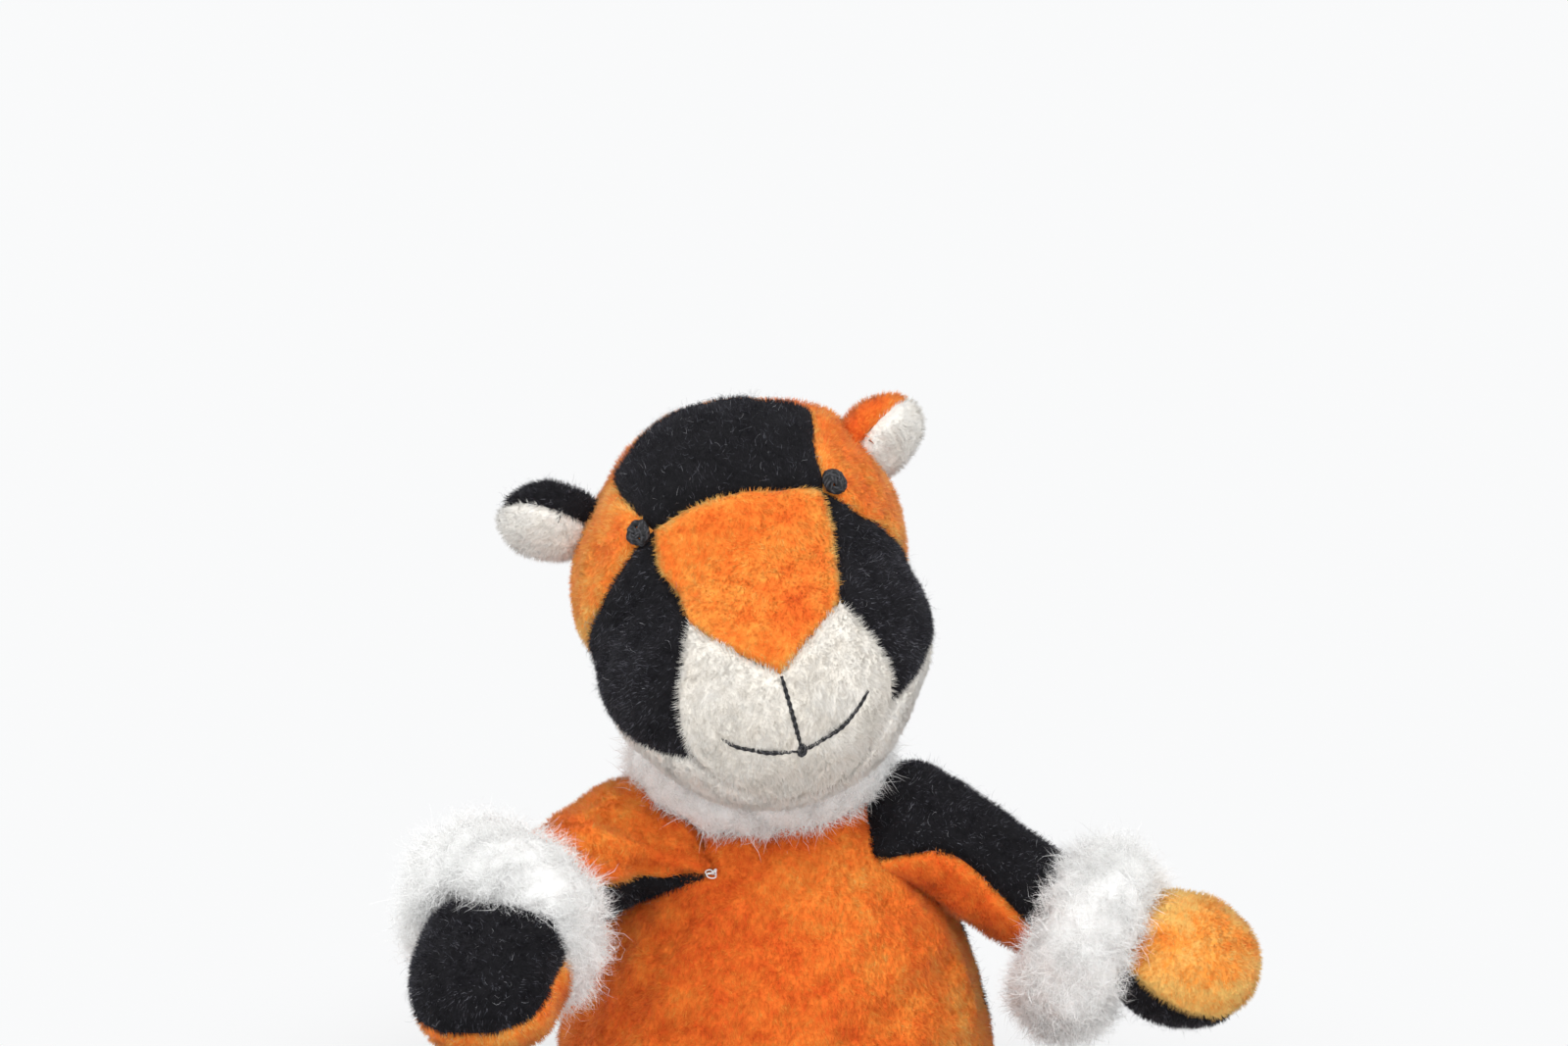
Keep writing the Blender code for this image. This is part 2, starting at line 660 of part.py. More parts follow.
def tube_solid(name, slot, line, stations):
    """A closed tube through stations of (along, radius), the first and last on its axis."""
    stations = np.array(stations)
    rows = len(stations) - 1
    bm = bmesh.new()
    bmesh.ops.create_grid(bm, x_segments=ring_steps, y_segments=rows, size=0.5)
    verts = bm.verts[:]
    row = np.rint(np.array([vert.co.y + 0.5 for vert in verts]) * rows).astype(int)
    angle = np.array([vert.co.x + 0.5 for vert in verts]) * 2 * pi
    middle, sideways, upwards = line(stations[row, 0])
    outwards = np.cos(angle)[:, None] * sideways + np.sin(angle)[:, None] * upwards
    for vert, point in zip(verts, middle + stations[row, 1][:, None] * outwards):
        vert.co = point
    bmesh.ops.remove_doubles(bm, verts=bm.verts[:], dist=weld_size)
    return add_solid(name, bm, slot)


def egg_point(centre, frame, half_sizes, depth=0.0):
    """A function that throws directions on an ellipsoid of sizes across, thick and along."""
    across, thick, along = half_sizes
    sizes = np.array([across - depth, thick - depth, along - depth])
    return lambda directions: np.array(centre) + (directions * sizes) @ frame


def dome_directions(u_share, v_share, edge_angle):
    """A square's points spread over half a sphere: first to a disc, then to a dome."""
    across, up = 2 * u_share - 1, 2 * v_share - 1
    flat_across = across * np.sqrt(1 - up ** 2 / 2)
    flat_up = up * np.sqrt(1 - across ** 2 / 2)
    away = np.hypot(flat_across, flat_up) * edge_angle
    spread = np.sinc(away / pi) * edge_angle
    return flat_across * spread, np.cos(away), flat_up * spread


def bowl_panels(names, slots, outer, inner, edge_angle):
    """An egg's cloth in two bowls, the upper and the under one, seamed between."""
    for name, slot, facing in zip(names, slots, (1.0, -1.0)):

        def place(u_share, v_share, depth, facing=facing):
            across, rise, along = dome_directions(u_share, v_share, edge_angle)
            directions = np.stack([across, facing * rise, along], -1)
            return np.where((depth > 0)[:, None], inner(directions), outer(directions))

        cloth_panel(name, slot, bowl_cells, bowl_cells, place)


def limb(side, kind, end_kind, start, wrist, end, slots, ball, swing_degrees, radii, end_sizes, cuff_sizes,
         seam_degrees, end_seam_degrees, swing_axis, swing_poses):
    """An arm or a leg: sleeve halves round stuffing with a ball root, a cuff, and a stuffed end.

    The end's two bowls take the sleeve's colours the other way round. The larger form cuts
    the smaller: the end hollows the sleeve's mouth, and both bore the cuff.
    """
    frame = limb_frame(start, wrist, seam_degrees)
    end_frame = limb_frame(wrist, end, end_seam_degrees)
    line = straight_line(start, frame)
    length = (wrist - start).length + sleeve_tuck
    inside = cloth_wall + stuffing_gap
    first = ball * sin(radians(swing_degrees))
    shares = np.linspace(0, 1, sleeve_rows + 1)[1:]

    def stations(depth, open_degrees=root_open_degrees):
        swell = [
            (first + share * (length - first), limb_radius(share, ball * cos(radians(swing_degrees)), *radii) - depth)
            for share in shares]
        return round_root(ball - depth, swing_degrees, open_degrees) + swell

    sleeves = tube_panels(
        (f"{side}_{kind}_upper_sleeve", f"{side}_{kind}_under_sleeve"), slots, line,
        stations(0.0), stations(cloth_wall), min(radii))
    stuffing = tube_solid(
        f"{side}_{kind}_stuffing", "stuffing_fibre", line, stations(inside, 90.0) + [(length, 0.0)])

    grown = [size + seam_gap for size in end_sizes]
    end_cutter = ball_solid(f"{side}_{kind}_end_cutter", None, egg_point(end, end_frame, grown))
    cut_away(sleeves + [stuffing], [end_cutter])
    clear_of_body(sleeves + [stuffing], f"{side}_{kind}", start, ball, swing_axis, swing_poses)
    bowl_panels(
        (f"{side}_{end_kind}_top", f"{side}_{end_kind}_underside"), slots[::-1],
        egg_point(end, end_frame, end_sizes), egg_point(end, end_frame, end_sizes, cloth_wall),
        pi / 2 - seam_gap / 2 / min(end_sizes))
    ball_solid(
        f"{side}_{end_kind}_stuffing", "stuffing_fibre",
        egg_point(end, end_frame, end_sizes, end_stuffing_depth), ring_steps)

    cuff_radius, cuff_half_width = cuff_sizes
    cuff_frame = frame_matrix(wrist, limb_frame(start.lerp(wrist, 0.5), end))
    cuff = turned_solid(
        f"{side}_{kind}_cuff", "white_fluff", puffed_outline(cuff_radius, cuff_half_width), cuff_frame)
    bore = [(0.0, 0.0)] + [(along, radius) for along, radius in stations(-seam_gap) if along > 0]
    bore += [(length + seam_gap, bore[-1][1]), (length + seam_gap, 0.0)]
    bore_cutter = tube_solid(f"{side}_{kind}_bore_cutter", None, line, bore)
    cut_away([cuff], [bore_cutter, end_cutter])
    return cuff


def clear_of_body(pieces, name, root, ball, axis, poses):
    """Cut limb pieces where the body's form, grown by the swing gap, meets them at each pose.

    Only what lies outside the ball root is cut.
    """
    heights = np.linspace(0.0, 1.0, body_rows + 1)[::-1]
    grown = [(float(body_radius(share)) + swing_gap, share * body_height) for share in heights]
    outline = [(0.0, body_height)] + grown + [(0.0, 0.0)]
    socket = socket_cutter(name + "_clear_cutter", root, ball + socket_gap / 2, fine_socket_steps)
    for index, degrees in enumerate(poses):
        about = Matrix.Translation(root) @ Matrix.Rotation(radians(-degrees), 4, axis) @ Matrix.Translation(-root)
        body = turned_solid(
            f"{name}_body_cutter_{index}", None, outline, Matrix(), body_depth_share, 2 * body_columns)
        body.data.transform(about)
        cut_away([body], [socket])
        cut_away(pieces, [body])


def limb_radius(share, root, middle, end):
    """Root, middle and end radius on one parabola."""
    return root * (1 - share) * (1 - 2 * share) + 4 * middle * share * (1 - share) + end * share * (2 * share - 1)


def make_limbs(body_pieces):
    """Both arms and both legs, with a socket cut in the body for each ball."""
    arm_sizes = (
        shoulder_ball_radius, arm_swing_degrees, arm_radii, paw_half_sizes, (arm_cuff_radius, arm_cuff_half_width))
    leg_sizes = (
        hip_ball_radius, leg_swing_degrees, leg_radii, foot_half_sizes, (leg_cuff_radius, leg_cuff_half_width))
    left_slots, right_slots = ("orange_pile", "black_pile"), ("black_pile", "orange_pile")
    arm_poses, leg_poses = (0.0, arm_down_degrees), (0.0, -leg_swing_degrees, leg_swing_degrees)
    limb("left", "arm", "paw", left_shoulder, left_wrist, left_paw_centre, left_slots,
         *arm_sizes, left_sleeve_seam_degrees, left_paw_seam_degrees, "X", arm_poses)
    limb("right", "arm", "paw", right_shoulder, right_wrist, right_paw_centre, right_slots,
         *arm_sizes, right_sleeve_seam_degrees, right_paw_seam_degrees, "Y", arm_poses)
    cuffs = [
        limb("left", "leg", "foot", left_hip, left_ankle, left_foot_centre, left_slots,
             *leg_sizes, leg_seam_degrees, leg_seam_degrees, "Z", leg_poses),
        limb("right", "leg", "foot", right_hip, right_ankle, right_foot_centre, right_slots,
             *leg_sizes, -leg_seam_degrees, -leg_seam_degrees, "Z", leg_poses)]

    ground = bmesh.new()
    below = Matrix.Translation((0.0, 0.0, ground_clearance - body_height / 2))
    spread = 4 * body_height
    bmesh.ops.create_cube(ground, size=1.0, matrix=below @ Matrix.Diagonal((spread, spread, body_height, 1.0)))
    cut_away(cuffs, [add_solid("ground_cutter", ground)])

    sockets = [
        socket_cutter("left_shoulder_cutter", left_shoulder, shoulder_ball_radius + socket_gap),
        socket_cutter("right_shoulder_cutter", right_shoulder, shoulder_ball_radius + socket_gap),
        socket_cutter("left_hip_cutter", left_hip, hip_ball_radius + socket_gap),
        socket_cutter("right_hip_cutter", right_hip, hip_ball_radius + socket_gap),
        socket_cutter("tail_socket_cutter", tail_root, tail_ball_radius + socket_gap)]
    cut_away(body_pieces, sockets)


def make_tail():
    """Upper and under cloth of the tail round its stuffing, with a round root and tip."""
    line = bent_line(tail_root, tail_bend, tail_end)
    length = line_length(*(np.array(place) for place in (tail_root, tail_bend, tail_end)))
    shares = np.linspace(0.15, 1, tail_rows)
    tip_turns = np.radians(np.linspace(0, 90, 5))[1:]

    def stations(depth, open_degrees, tip_count):
        tube = [(share * length, tail_radius - depth) for share in shares]
        tip = [(length + (tail_radius - depth) * sin(turn), (tail_radius - depth) * cos(turn)) for turn in tip_turns]
        return round_root(tail_ball_radius - depth, tail_swing_degrees, open_degrees) + tube + tip[:tip_count]

    cloths = tube_panels(
        ("tail_upper", "tail_underside"), ("orange_pile", "black_pile"), line,
        stations(0.0, root_open_degrees, 3), stations(cloth_wall, root_open_degrees, 3), tail_radius)
    clear_of_body(cloths, "tail", tail_root, tail_ball_radius, "Z", (-tail_swing_degrees, tail_swing_degrees))
    tube_solid("tail_stuffing", "stuffing_fibre", line, stations(cloth_wall + stuffing_gap, 90.0, 4))


def hang_on_pivots():
    """An empty on each joint's axis, with the pieces that turn with it parented to it."""
    pivots = {
        "neck_pivot": (Vector((0.0, 0.0, body_height + seam_gap)), ("neck",)),
        "head_pivot": (skull_middle, ("head", "forehead", "muzzle", "chin", "mouth", "ear", "eye", "cheek")),
        "left_shoulder_pivot": (left_shoulder, ("left_arm", "left_paw")),
        "right_shoulder_pivot": (right_shoulder, ("right_arm", "right_paw")),
        "left_hip_pivot": (left_hip, ("left_leg", "left_foot")),
        "right_hip_pivot": (right_hip, ("right_leg", "right_foot")),
        "tail_pivot": (tail_root, ("tail",))}
    parts = list(collection_named("plush_tiger").objects)
    for name, (place, stems) in pivots.items():
        pivot = bpy.data.objects.new(name, None)
        pivot.location = place
        collection_named("plush_tiger").objects.link(pivot)
        for part in parts:
            bare = part.name.removeprefix("left_").removeprefix("right_")
            if part.name.startswith(stems) or bare.startswith(stems):
                part.parent = pivot
                part.matrix_parent_inverse = Matrix.Translation(-place)
    head_pivot, neck_pivot = bpy.data.objects["head_pivot"], bpy.data.objects["neck_pivot"]
    head_pivot.parent = neck_pivot
    head_pivot.matrix_parent_inverse = Matrix.Translation(-neck_pivot.location)


clear_scene()
make_head()
body = make_body()
make_neck()
make_limbs(body)
make_tail()
hang_on_pivots()
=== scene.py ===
import json
import bpy
import numpy as np
from math import cos, pi, radians, sin
from mathutils import Matrix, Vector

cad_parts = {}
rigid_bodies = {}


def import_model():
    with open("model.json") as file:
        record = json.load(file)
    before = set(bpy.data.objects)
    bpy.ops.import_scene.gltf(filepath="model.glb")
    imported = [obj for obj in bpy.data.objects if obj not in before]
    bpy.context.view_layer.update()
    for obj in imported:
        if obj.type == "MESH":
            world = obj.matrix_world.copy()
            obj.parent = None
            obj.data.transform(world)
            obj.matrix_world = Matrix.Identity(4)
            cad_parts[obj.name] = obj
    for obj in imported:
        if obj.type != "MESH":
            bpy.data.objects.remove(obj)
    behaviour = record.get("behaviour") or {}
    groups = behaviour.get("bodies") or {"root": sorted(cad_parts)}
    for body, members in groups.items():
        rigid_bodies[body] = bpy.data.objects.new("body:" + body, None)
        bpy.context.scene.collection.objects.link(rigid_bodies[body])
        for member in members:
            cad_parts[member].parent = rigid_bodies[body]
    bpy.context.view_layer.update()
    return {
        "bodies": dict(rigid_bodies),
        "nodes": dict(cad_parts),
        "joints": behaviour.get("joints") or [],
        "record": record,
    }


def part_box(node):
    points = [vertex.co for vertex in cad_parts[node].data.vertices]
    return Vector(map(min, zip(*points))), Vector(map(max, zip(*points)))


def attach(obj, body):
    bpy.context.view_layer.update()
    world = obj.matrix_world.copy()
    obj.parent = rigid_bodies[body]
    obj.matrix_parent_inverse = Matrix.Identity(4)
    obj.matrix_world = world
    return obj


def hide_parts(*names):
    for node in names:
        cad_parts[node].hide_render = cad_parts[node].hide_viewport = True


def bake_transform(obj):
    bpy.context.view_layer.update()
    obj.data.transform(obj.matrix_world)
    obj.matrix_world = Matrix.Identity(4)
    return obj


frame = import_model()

# Fillings.
# Loose polyester fibre packed into each sewn skin, and a cloth pouch of beans low in the
# body. All of it is closed in when the last seam is sewn, so none of it shows.

MM = 0.001
FIBRE_COUNT_SHARE = 1.0


class Flow:
    """One socket of a material's nodes. Arithmetic on it adds Math nodes."""

    def __init__(self, tree, socket=None):
        self.tree, self.socket = tree, socket

    def node(self, kind, settings=None, sockets=None, output=0):
        """Add a node of a type with its settings, then values or links for its sockets."""
        made = self.tree.nodes.new(kind)
        for key, value in (settings or {}).items():
            if key == "stops":
                ramp = made.color_ramp.elements
                while len(ramp) < len(value):
                    ramp.new(1.0)
                for stop, (place, colour) in zip(ramp, value):
                    stop.position, stop.color = place, (*colour, 1.0)
            else:
                setattr(made, key, value)
        for key, value in (sockets or {}).items():
            if isinstance(value, Flow):
                self.tree.links.new(value.socket, made.inputs[key])
            else:
                made.inputs[key].default_value = value
        return Flow(self.tree, made.outputs[output])

    def math(self, operation, *values):
        return self.node("ShaderNodeMath", {"operation": operation}, dict(enumerate(values)))

    def __add__(self, other):
        return self.math("ADD", self, other)

    def __sub__(self, other):
        return self.math("SUBTRACT", self, other)

    def __rsub__(self, other):
        return self.math("SUBTRACT", other, self)

    def __mul__(self, other):
        return self.math("MULTIPLY", self, other)

    __radd__, __rmul__ = __add__, __mul__

    def noise(self, scale, detail=2.0):
        """Noise over the piece's own coordinates, with a mean of about a half."""
        place = self.node("ShaderNodeTexCoord", output=3)
        return self.node(
            "ShaderNodeTexNoise", {}, {"Vector": place, "Scale": scale, "Detail": detail, "Roughness": 0.6})

    def attribute(self, name):
        return self.node("ShaderNodeAttribute", {"attribute_name": name}, output=2)


def finish_of(name, stops, grain, bump, roughness=0.9, sheen=0.0, sheen_tint=(1, 1, 1), nap=False):
    """A cloth or fibre finish: a ramp over the piece's tone, clouded by noise of several sizes.

    stops are (place, colour) pairs from the deepest shade to the lightest. grain is
    (scale, share) pairs, coarse to fine. bump is the finest grain's height in metres, or 0
    on loose fibres. With nap, a fibre is shaded by the way the cloth under it faces, from
    whichever side it is seen, because a real fibre is round.
    """
    material = bpy.data.materials.new(name)
    material.use_nodes = True
    tree = material.node_tree
    shader = tree.nodes["Principled BSDF"]
    flow = Flow(tree)
    tone = flow.attribute("tone")
    for scale, share in grain:
        fine = flow.noise(scale)
        tone = tone + (fine - 0.5) * share
    colour = flow.node("ShaderNodeValToRGB", {"stops": stops}, {"Fac": tone})
    tree.links.new(colour.socket, shader.inputs["Base Color"])
    shader.inputs["Roughness"].default_value = roughness
    shader.inputs["Specular IOR Level"].default_value = 0.25
    shader.inputs["Sheen Weight"].default_value = sheen
    shader.inputs["Sheen Roughness"].default_value = 0.5
    shader.inputs["Sheen Tint"].default_value = (*sheen_tint, 1.0)
    if bump:
        raised = flow.node("ShaderNodeBump", {}, {"Height": fine, "Distance": bump, "Strength": 0.7})
        tree.links.new(raised.socket, shader.inputs["Normal"])
    if nap:
        facing = flow.node("ShaderNodeAttribute", {"attribute_name": "nap"}, output=1)
        turned = flow.node("ShaderNodeVectorTransform", {
            "vector_type": "NORMAL", "convert_from": "OBJECT", "convert_to": "WORLD"}, {"Vector": facing})
        tree.links.new(turned.socket, shader.inputs["Normal"])
    return material


fill_fibre = finish_of(
    "fill_fibre", [(0.2, (0.62, 0.62, 0.60)), (0.5, (0.84, 0.84, 0.82)), (0.8, (0.93, 0.93, 0.92))],
    ((160.0, 0.5), (900.0, 0.5)), 0.0006)
bean_cloth = finish_of(
    "bean_cloth", [(0.2, (0.56, 0.52, 0.44)), (0.5, (0.72, 0.68, 0.60)), (0.8, (0.80, 0.77, 0.70))],
    ((220.0, 0.3), (1600.0, 0.4)), 0.0003)


def unit(vectors):
    """Rows at length one."""
    return vectors / np.maximum(np.linalg.norm(vectors, axis=-1, keepdims=True), 1e-12)


def ripple(points, wavelength, seed):
    """Smooth noise of about -1 to 1: nine sine waves of one length, each its own way."""
    source = np.random.default_rng(seed)
    ways = unit(source.normal(size=(9, 3))) * (2 * pi / wavelength)
    phases = source.uniform(0, 2 * pi, 9)
    return np.sin(points @ ways.T + phases).sum(-1) / 3.0


def grid_faces(columns, rows, first=0):
    """Four corners of each cell of a grid of points, in the order that faces u cross v."""
    index = first + np.arange((rows + 1) * (columns + 1)).reshape(rows + 1, columns + 1)
    return np.stack([index[:-1, :-1], index[:-1, 1:], index[1:, 1:], index[1:, :-1]], -1).reshape(-1, 4)


def grid_normals(points):
    """Unit normals of a grid of points, from the differences along u and v."""
    along_u, along_v = np.gradient(points, axis=1), np.gradient(points, axis=0)
    normal = np.cross(along_u, along_v)
    weak = np.linalg.norm(normal, axis=-1, keepdims=True) < 1e-3 * np.linalg.norm(normal, axis=-1).mean()
    return unit(np.where(weak, points - points.mean((0, 1)), normal))


def add_piece(name, points, faces, tones, finishes, face_finish=None, uv=None, normals=None, nap=None):
    """One mesh object at the origin, with its tone on every point and its own bake map."""
    mesh = bpy.data.meshes.new(name)
    mesh.from_pydata(points.tolist(), [], faces if isinstance(faces, list) else faces.tolist())
    for finish in finishes:
        mesh.materials.append(finish)
    tone = mesh.attributes.new("tone", "FLOAT", "POINT")
    tone.data.foreach_set("value", np.asarray(tones, dtype=np.float32))
    if face_finish is not None:
        mesh.polygons.foreach_set("material_index", np.asarray(face_finish, dtype=np.int32))
    mesh.polygons.foreach_set("use_smooth", np.full(len(mesh.polygons), True))
    if nap is not None:
        facing = mesh.attributes.new("nap", "FLOAT_VECTOR", "POINT")
        facing.data.foreach_set("vector", np.asarray(nap, dtype=np.float32).ravel())
    if uv is not None:
        mesh.uv_layers.new(name="OFBake").data.foreach_set("uv", np.asarray(uv, dtype=np.float32).ravel())
    mesh.update()
    if normals is not None:
        mesh.normals_split_custom_set(normals.tolist())
    piece = bpy.data.objects.new(name, mesh)
    bpy.context.scene.collection.objects.link(piece)
    return piece


def stuffed_form(name, place, columns, rows, finish):
    """A closed lumpy form: place(u, v) once round in u and from pole to pole in v."""
    u, v = np.meshgrid(np.linspace(0, 1, columns + 1)[:-1], np.linspace(0, 1, rows + 1)[1:-1])
    ring = place(u, v)
    poles = np.stack([place(np.zeros(1), np.full(1, end))[0] for end in (0.0, 1.0)])
    points = np.vstack([ring.reshape(-1, 3), poles])
    points += unit(points - points.mean(0)) * 0.25 * MM * ripple(points, 9 * MM, 5)[:, None]
    index = np.arange(ring.shape[0] * columns).reshape(-1, columns)
    after = np.roll(index, -1, 1)
    quads = np.stack([index[:-1], after[:-1], after[1:], index[1:]], -1).reshape(-1, 4)
    top, bottom = len(points) - 2, len(points) - 1
    fans = [(top, b, a) for a, b in zip(index[0], after[0])]
    fans += [(bottom, a, b) for a, b in zip(index[-1], after[-1])]
    faces = quads.tolist() + [[int(k) for k in fan] for fan in fans]
    corner = points[quads[:, 0]]
    facing = np.cross(points[quads[:, 1]] - corner, points[quads[:, 3]] - corner)
    if (facing * (corner - points.mean(0))).sum() < 0:
        faces = [face[::-1] for face in faces]
    tone = 0.5 + 0.1 * ripple(points, 4 * MM, 6)
    return add_piece(name, points, faces, tone, [finish])


def ball(u, v):
    """Directions of a sphere: u once round, v from the top down."""
    turn, down = 2 * pi * u, pi * v
    return np.stack([np.cos(turn) * np.sin(down), np.sin(turn) * np.sin(down), np.cos(down)], -1)


def cad_form(node, shrink):
    """A rounded form that fills a node's box, drawn in by shrink: the box's own ellipsoid."""
    low, high = (np.array(corner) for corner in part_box(node))
    middle, half = (low + high) / 2, (high - low) / 2 - shrink
    return lambda u, v: middle + ball(u, v) * half


def stand_in(piece, node, body=None):
    """Hide the solid a piece stands for, and attach the piece to its body if one is given."""
    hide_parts(node)
    if body is not None:
        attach(piece, body)
    return piece


def filling(name, node, place, columns, rows, body, finish=fill_fibre):
    """A stuffed form in place of a filling's solid."""
    stand_in(stuffed_form(name, place, columns, rows, finish), node, body)


# Body.
# A pear-shaped skin of three cloths: orange in front, black behind and a flat black seat,
# seamed up both sides and round the seat. It is stuffed firmly over the bean pouch.

BODY_HALF_WIDTH = 38 * MM
BODY_DEPTH_SHARE = 0.9
BODY_HEIGHT = 72 * MM
BODY_OUTLINE_SHARES = (
    (0.0, 0.85), (0.1, 0.955), (0.24, 1.0), (0.4, 0.985), (0.62, 0.86), (0.82, 0.665), (1.0, 0.44))
SEAT_HEIGHT = 2.6 * MM
CLOTH_WALL = 0.9 * MM
SEAM_DEPTH = 1.0 * MM
SEAM_WIDTH = 1.1 * MM
LEFT_SHOULDER = np.array([-25.0, -9.0, 63.5]) * MM
RIGHT_SHOULDER = np.array([26.5, -5.0, 63.5]) * MM
ARMPIT = np.array([-11.5, -19.0, 62.0]) * MM
LEFT_HIP = np.array([-29.0, -21.0, 13.4]) * MM
RIGHT_HIP = np.array([29.0, -21.0, 13.4]) * MM
GROUND_GAP = 0.3 * MM
# Where the stuffing fills the body towards a limb: place, swell and spread in millimetres
BODY_BELLS = (
    (LEFT_SHOULDER, 1.5, 12), (RIGHT_SHOULDER, 1.0, 12), (LEFT_HIP, 2.0, 14), (RIGHT_HIP, 2.0, 14),
    (ARMPIT, 1.6, 8))
FIBRE_WIDTH, HAIR_WIDTH = 0.15 * MM, 0.035 * MM

# The deepest shade, the body of the colour and the lit tips of each pile
ORANGE = [
    (0.0, (0.50, 0.050, 0.006)), (0.25, (0.78, 0.110, 0.010)), (0.5, (0.93, 0.200, 0.022)),
    (0.75, (0.96, 0.340, 0.050)), (1.0, (0.98, 0.600, 0.170))]
BLACK = [
    (0.0, (0.002, 0.002, 0.003)), (0.5, (0.0055, 0.005, 0.007)), (0.75, (0.020, 0.0185, 0.025)),
    (1.0, (0.15, 0.15, 0.175))]
CREAM = [
    (0.0, (0.62, 0.55, 0.46)), (0.35, (0.84, 0.79, 0.71)), (0.6, (0.92, 0.885, 0.82)), (1.0, (0.96, 0.95, 0.92))]


def velboa(colour, ramp, grain, roughness, sheen, sheen_tint):
    """A pile cloth's two finishes: its ground, and the fibres, lit by the way the cloth faces."""
    return [
        finish_of(colour + part, ramp, grain, bump, roughness, sheen, sheen_tint, nap)
        for part, bump, nap in (("_cloth", 0.0004, False), ("_pile", 0.0, True))]


lint = finish_of(
    "lint", [(0.0, (0.05, 0.052, 0.07)), (0.6, (0.13, 0.135, 0.16)), (1.0, (0.5, 0.5, 0.53))],
    ((900.0, 0.3),), 0.0)
VELBOA = {
    "orange_pile": velboa(
        "orange", ORANGE, ((55.0, 0.8), (330.0, 0.6), (1300.0, 0.35)), 0.85, 0.3, (1.0, 0.72, 0.40)),
    "black_pile": velboa(
        "black", BLACK, ((110.0, 0.5), (500.0, 0.5), (1500.0, 0.5)), 0.85, 0.035, (0.8, 0.8, 1.0)) + [lint],
    "white_pile": velboa(
        "cream", CREAM, ((130.0, 0.5), (450.0, 0.4), (1200.0, 0.2)), 0.9, 0.15, (1.0, 0.96, 0.9))}
# How each pile lies. over is how far it leans out over a seam, rim how much lighter it is painted
# there, a painted highlight (the cloth at the seam gets rim less 0.12, so a low rim is painted shade
# in the seam), tuft the tufts' size in millimetres, pull how far their tips draw together, speck how
# much one fibre differs from the next, and stray the loose hairs on a square millimetre.
NAP = {
    "orange_pile": dict(over=0.7, rim=0.24, tuft=0.7, pull=0.25, speck=0.06, stray=0.0),
    "black_pile": dict(over=0.0, rim=0.0, tuft=0.7, pull=0.25, speck=0.20, stray=0.45),
    "white_pile": dict(over=1.1, rim=0.06, tuft=1.4, pull=0.16, speck=0.03, stray=0.0)}


def smooth_line(points, spots):
    """A Catmull-Rom curve through the given points, read at spots from 0 to 1."""
    points = np.asarray(points, dtype=float)
    padded = np.vstack([2 * points[0] - points[1], points, 2 * points[-1] - points[-2]])
    spots = np.asarray(spots, dtype=float) * (len(points) - 1)
    start = np.clip(spots.astype(int), 0, len(points) - 2)
    t = (spots - start)[..., None]
    a, b, c, d = (padded[start + step] for step in range(4))
    square, cube = 2 * a - 5 * b + 4 * c - d, 3 * b - a - 3 * c + d
    return 0.5 * (2 * b + (c - a) * t + square * t ** 2 + cube * t ** 3)


def near_line(points, start, end):
    """Distance of each point from a straight line between two places."""
    start, run = np.array(start, float), np.array(end, float) - np.array(start, float)
    share = np.clip(((points - start) @ run) / (run @ run), 0, 1)
    return np.linalg.norm(points - start - share[..., None] * run, axis=-1)


def creased(points, normals, creases):
    """Push points in along each crease: (start, end, depth, width) in millimetres.

    A crease is a valley of a bell's profile, with a low ridge beside it.
    """
    moved = np.zeros(points.shape[:-1])
    for start, end, depth, width in creases:
        away = near_line(points, np.array(start) * MM, np.array(end) * MM) / (width * MM)
        moved -= depth * MM * (np.exp(-away ** 2) - 0.45 * np.exp(-((away - 1.9) / 0.8) ** 2))
    return points + normals * moved[..., None]


def cell_areas(points):
    """Each cell's corners in a grid, and its area: half the length of its crossed diagonals."""
    quads = grid_faces(points.shape[1] - 1, points.shape[0] - 1)
    a, b, c, d = points.reshape(-1, 3)[quads].transpose(1, 0, 2)
    return quads, np.linalg.norm(np.cross(c - a, d - b), axis=-1) / 2


def scattered(points, count, source):
    """Random places on a grid, evenly by area: corner indices and their weights."""
    quads, area = cell_areas(points)
    cell = np.searchsorted(np.cumsum(area) / area.sum(), source.uniform(size=count))
    s, t = source.uniform(size=(2, count))
    weights = np.stack([(1 - s) * (1 - t), s * (1 - t), s * t, (1 - s) * t], -1)
    return quads[cell.clip(0, len(quads) - 1)], weights


def read_at(values, spots):
    """A grid's values at scattered places."""
    chosen, weights = spots
    flat = values.reshape(-1, values.shape[-1]) if values.ndim == 3 else values.reshape(-1, 1)
    return (flat[chosen] * weights[..., None]).sum(1)


def edge_distance(points):
    """How far each grid point lies from the nearest of the panel's four seams, along the grid."""
    step_u = np.linalg.norm(np.diff(points, axis=1), axis=-1)
    step_v = np.linalg.norm(np.diff(points, axis=0), axis=-1)
    run_u = np.pad(np.cumsum(step_u, 1), ((0, 0), (1, 0)))
    run_v = np.pad(np.cumsum(step_v, 0), ((1, 0), (0, 0)))
    return np.minimum(np.minimum(run_u, run_u[:, -1:] - run_u), np.minimum(run_v, run_v[-1:] - run_v))


def cell_map(count, low, high):
    """Bake-map corners for count blades: one small cell each, in the map's low to high."""
    across = int(np.ceil(np.sqrt(count / (high - low)))) + 1
    down = int(np.ceil(count / across)) + 1
    index = np.arange(count)
    size = np.array([1 / across, (high - low) / down])
    corner = np.stack([index % across, index // across], -1) * size + (0, low)
    return corner[:, None] + np.array([[0.05, 0.05], [0.95, 0.05], [0.5, 0.95]]) * size


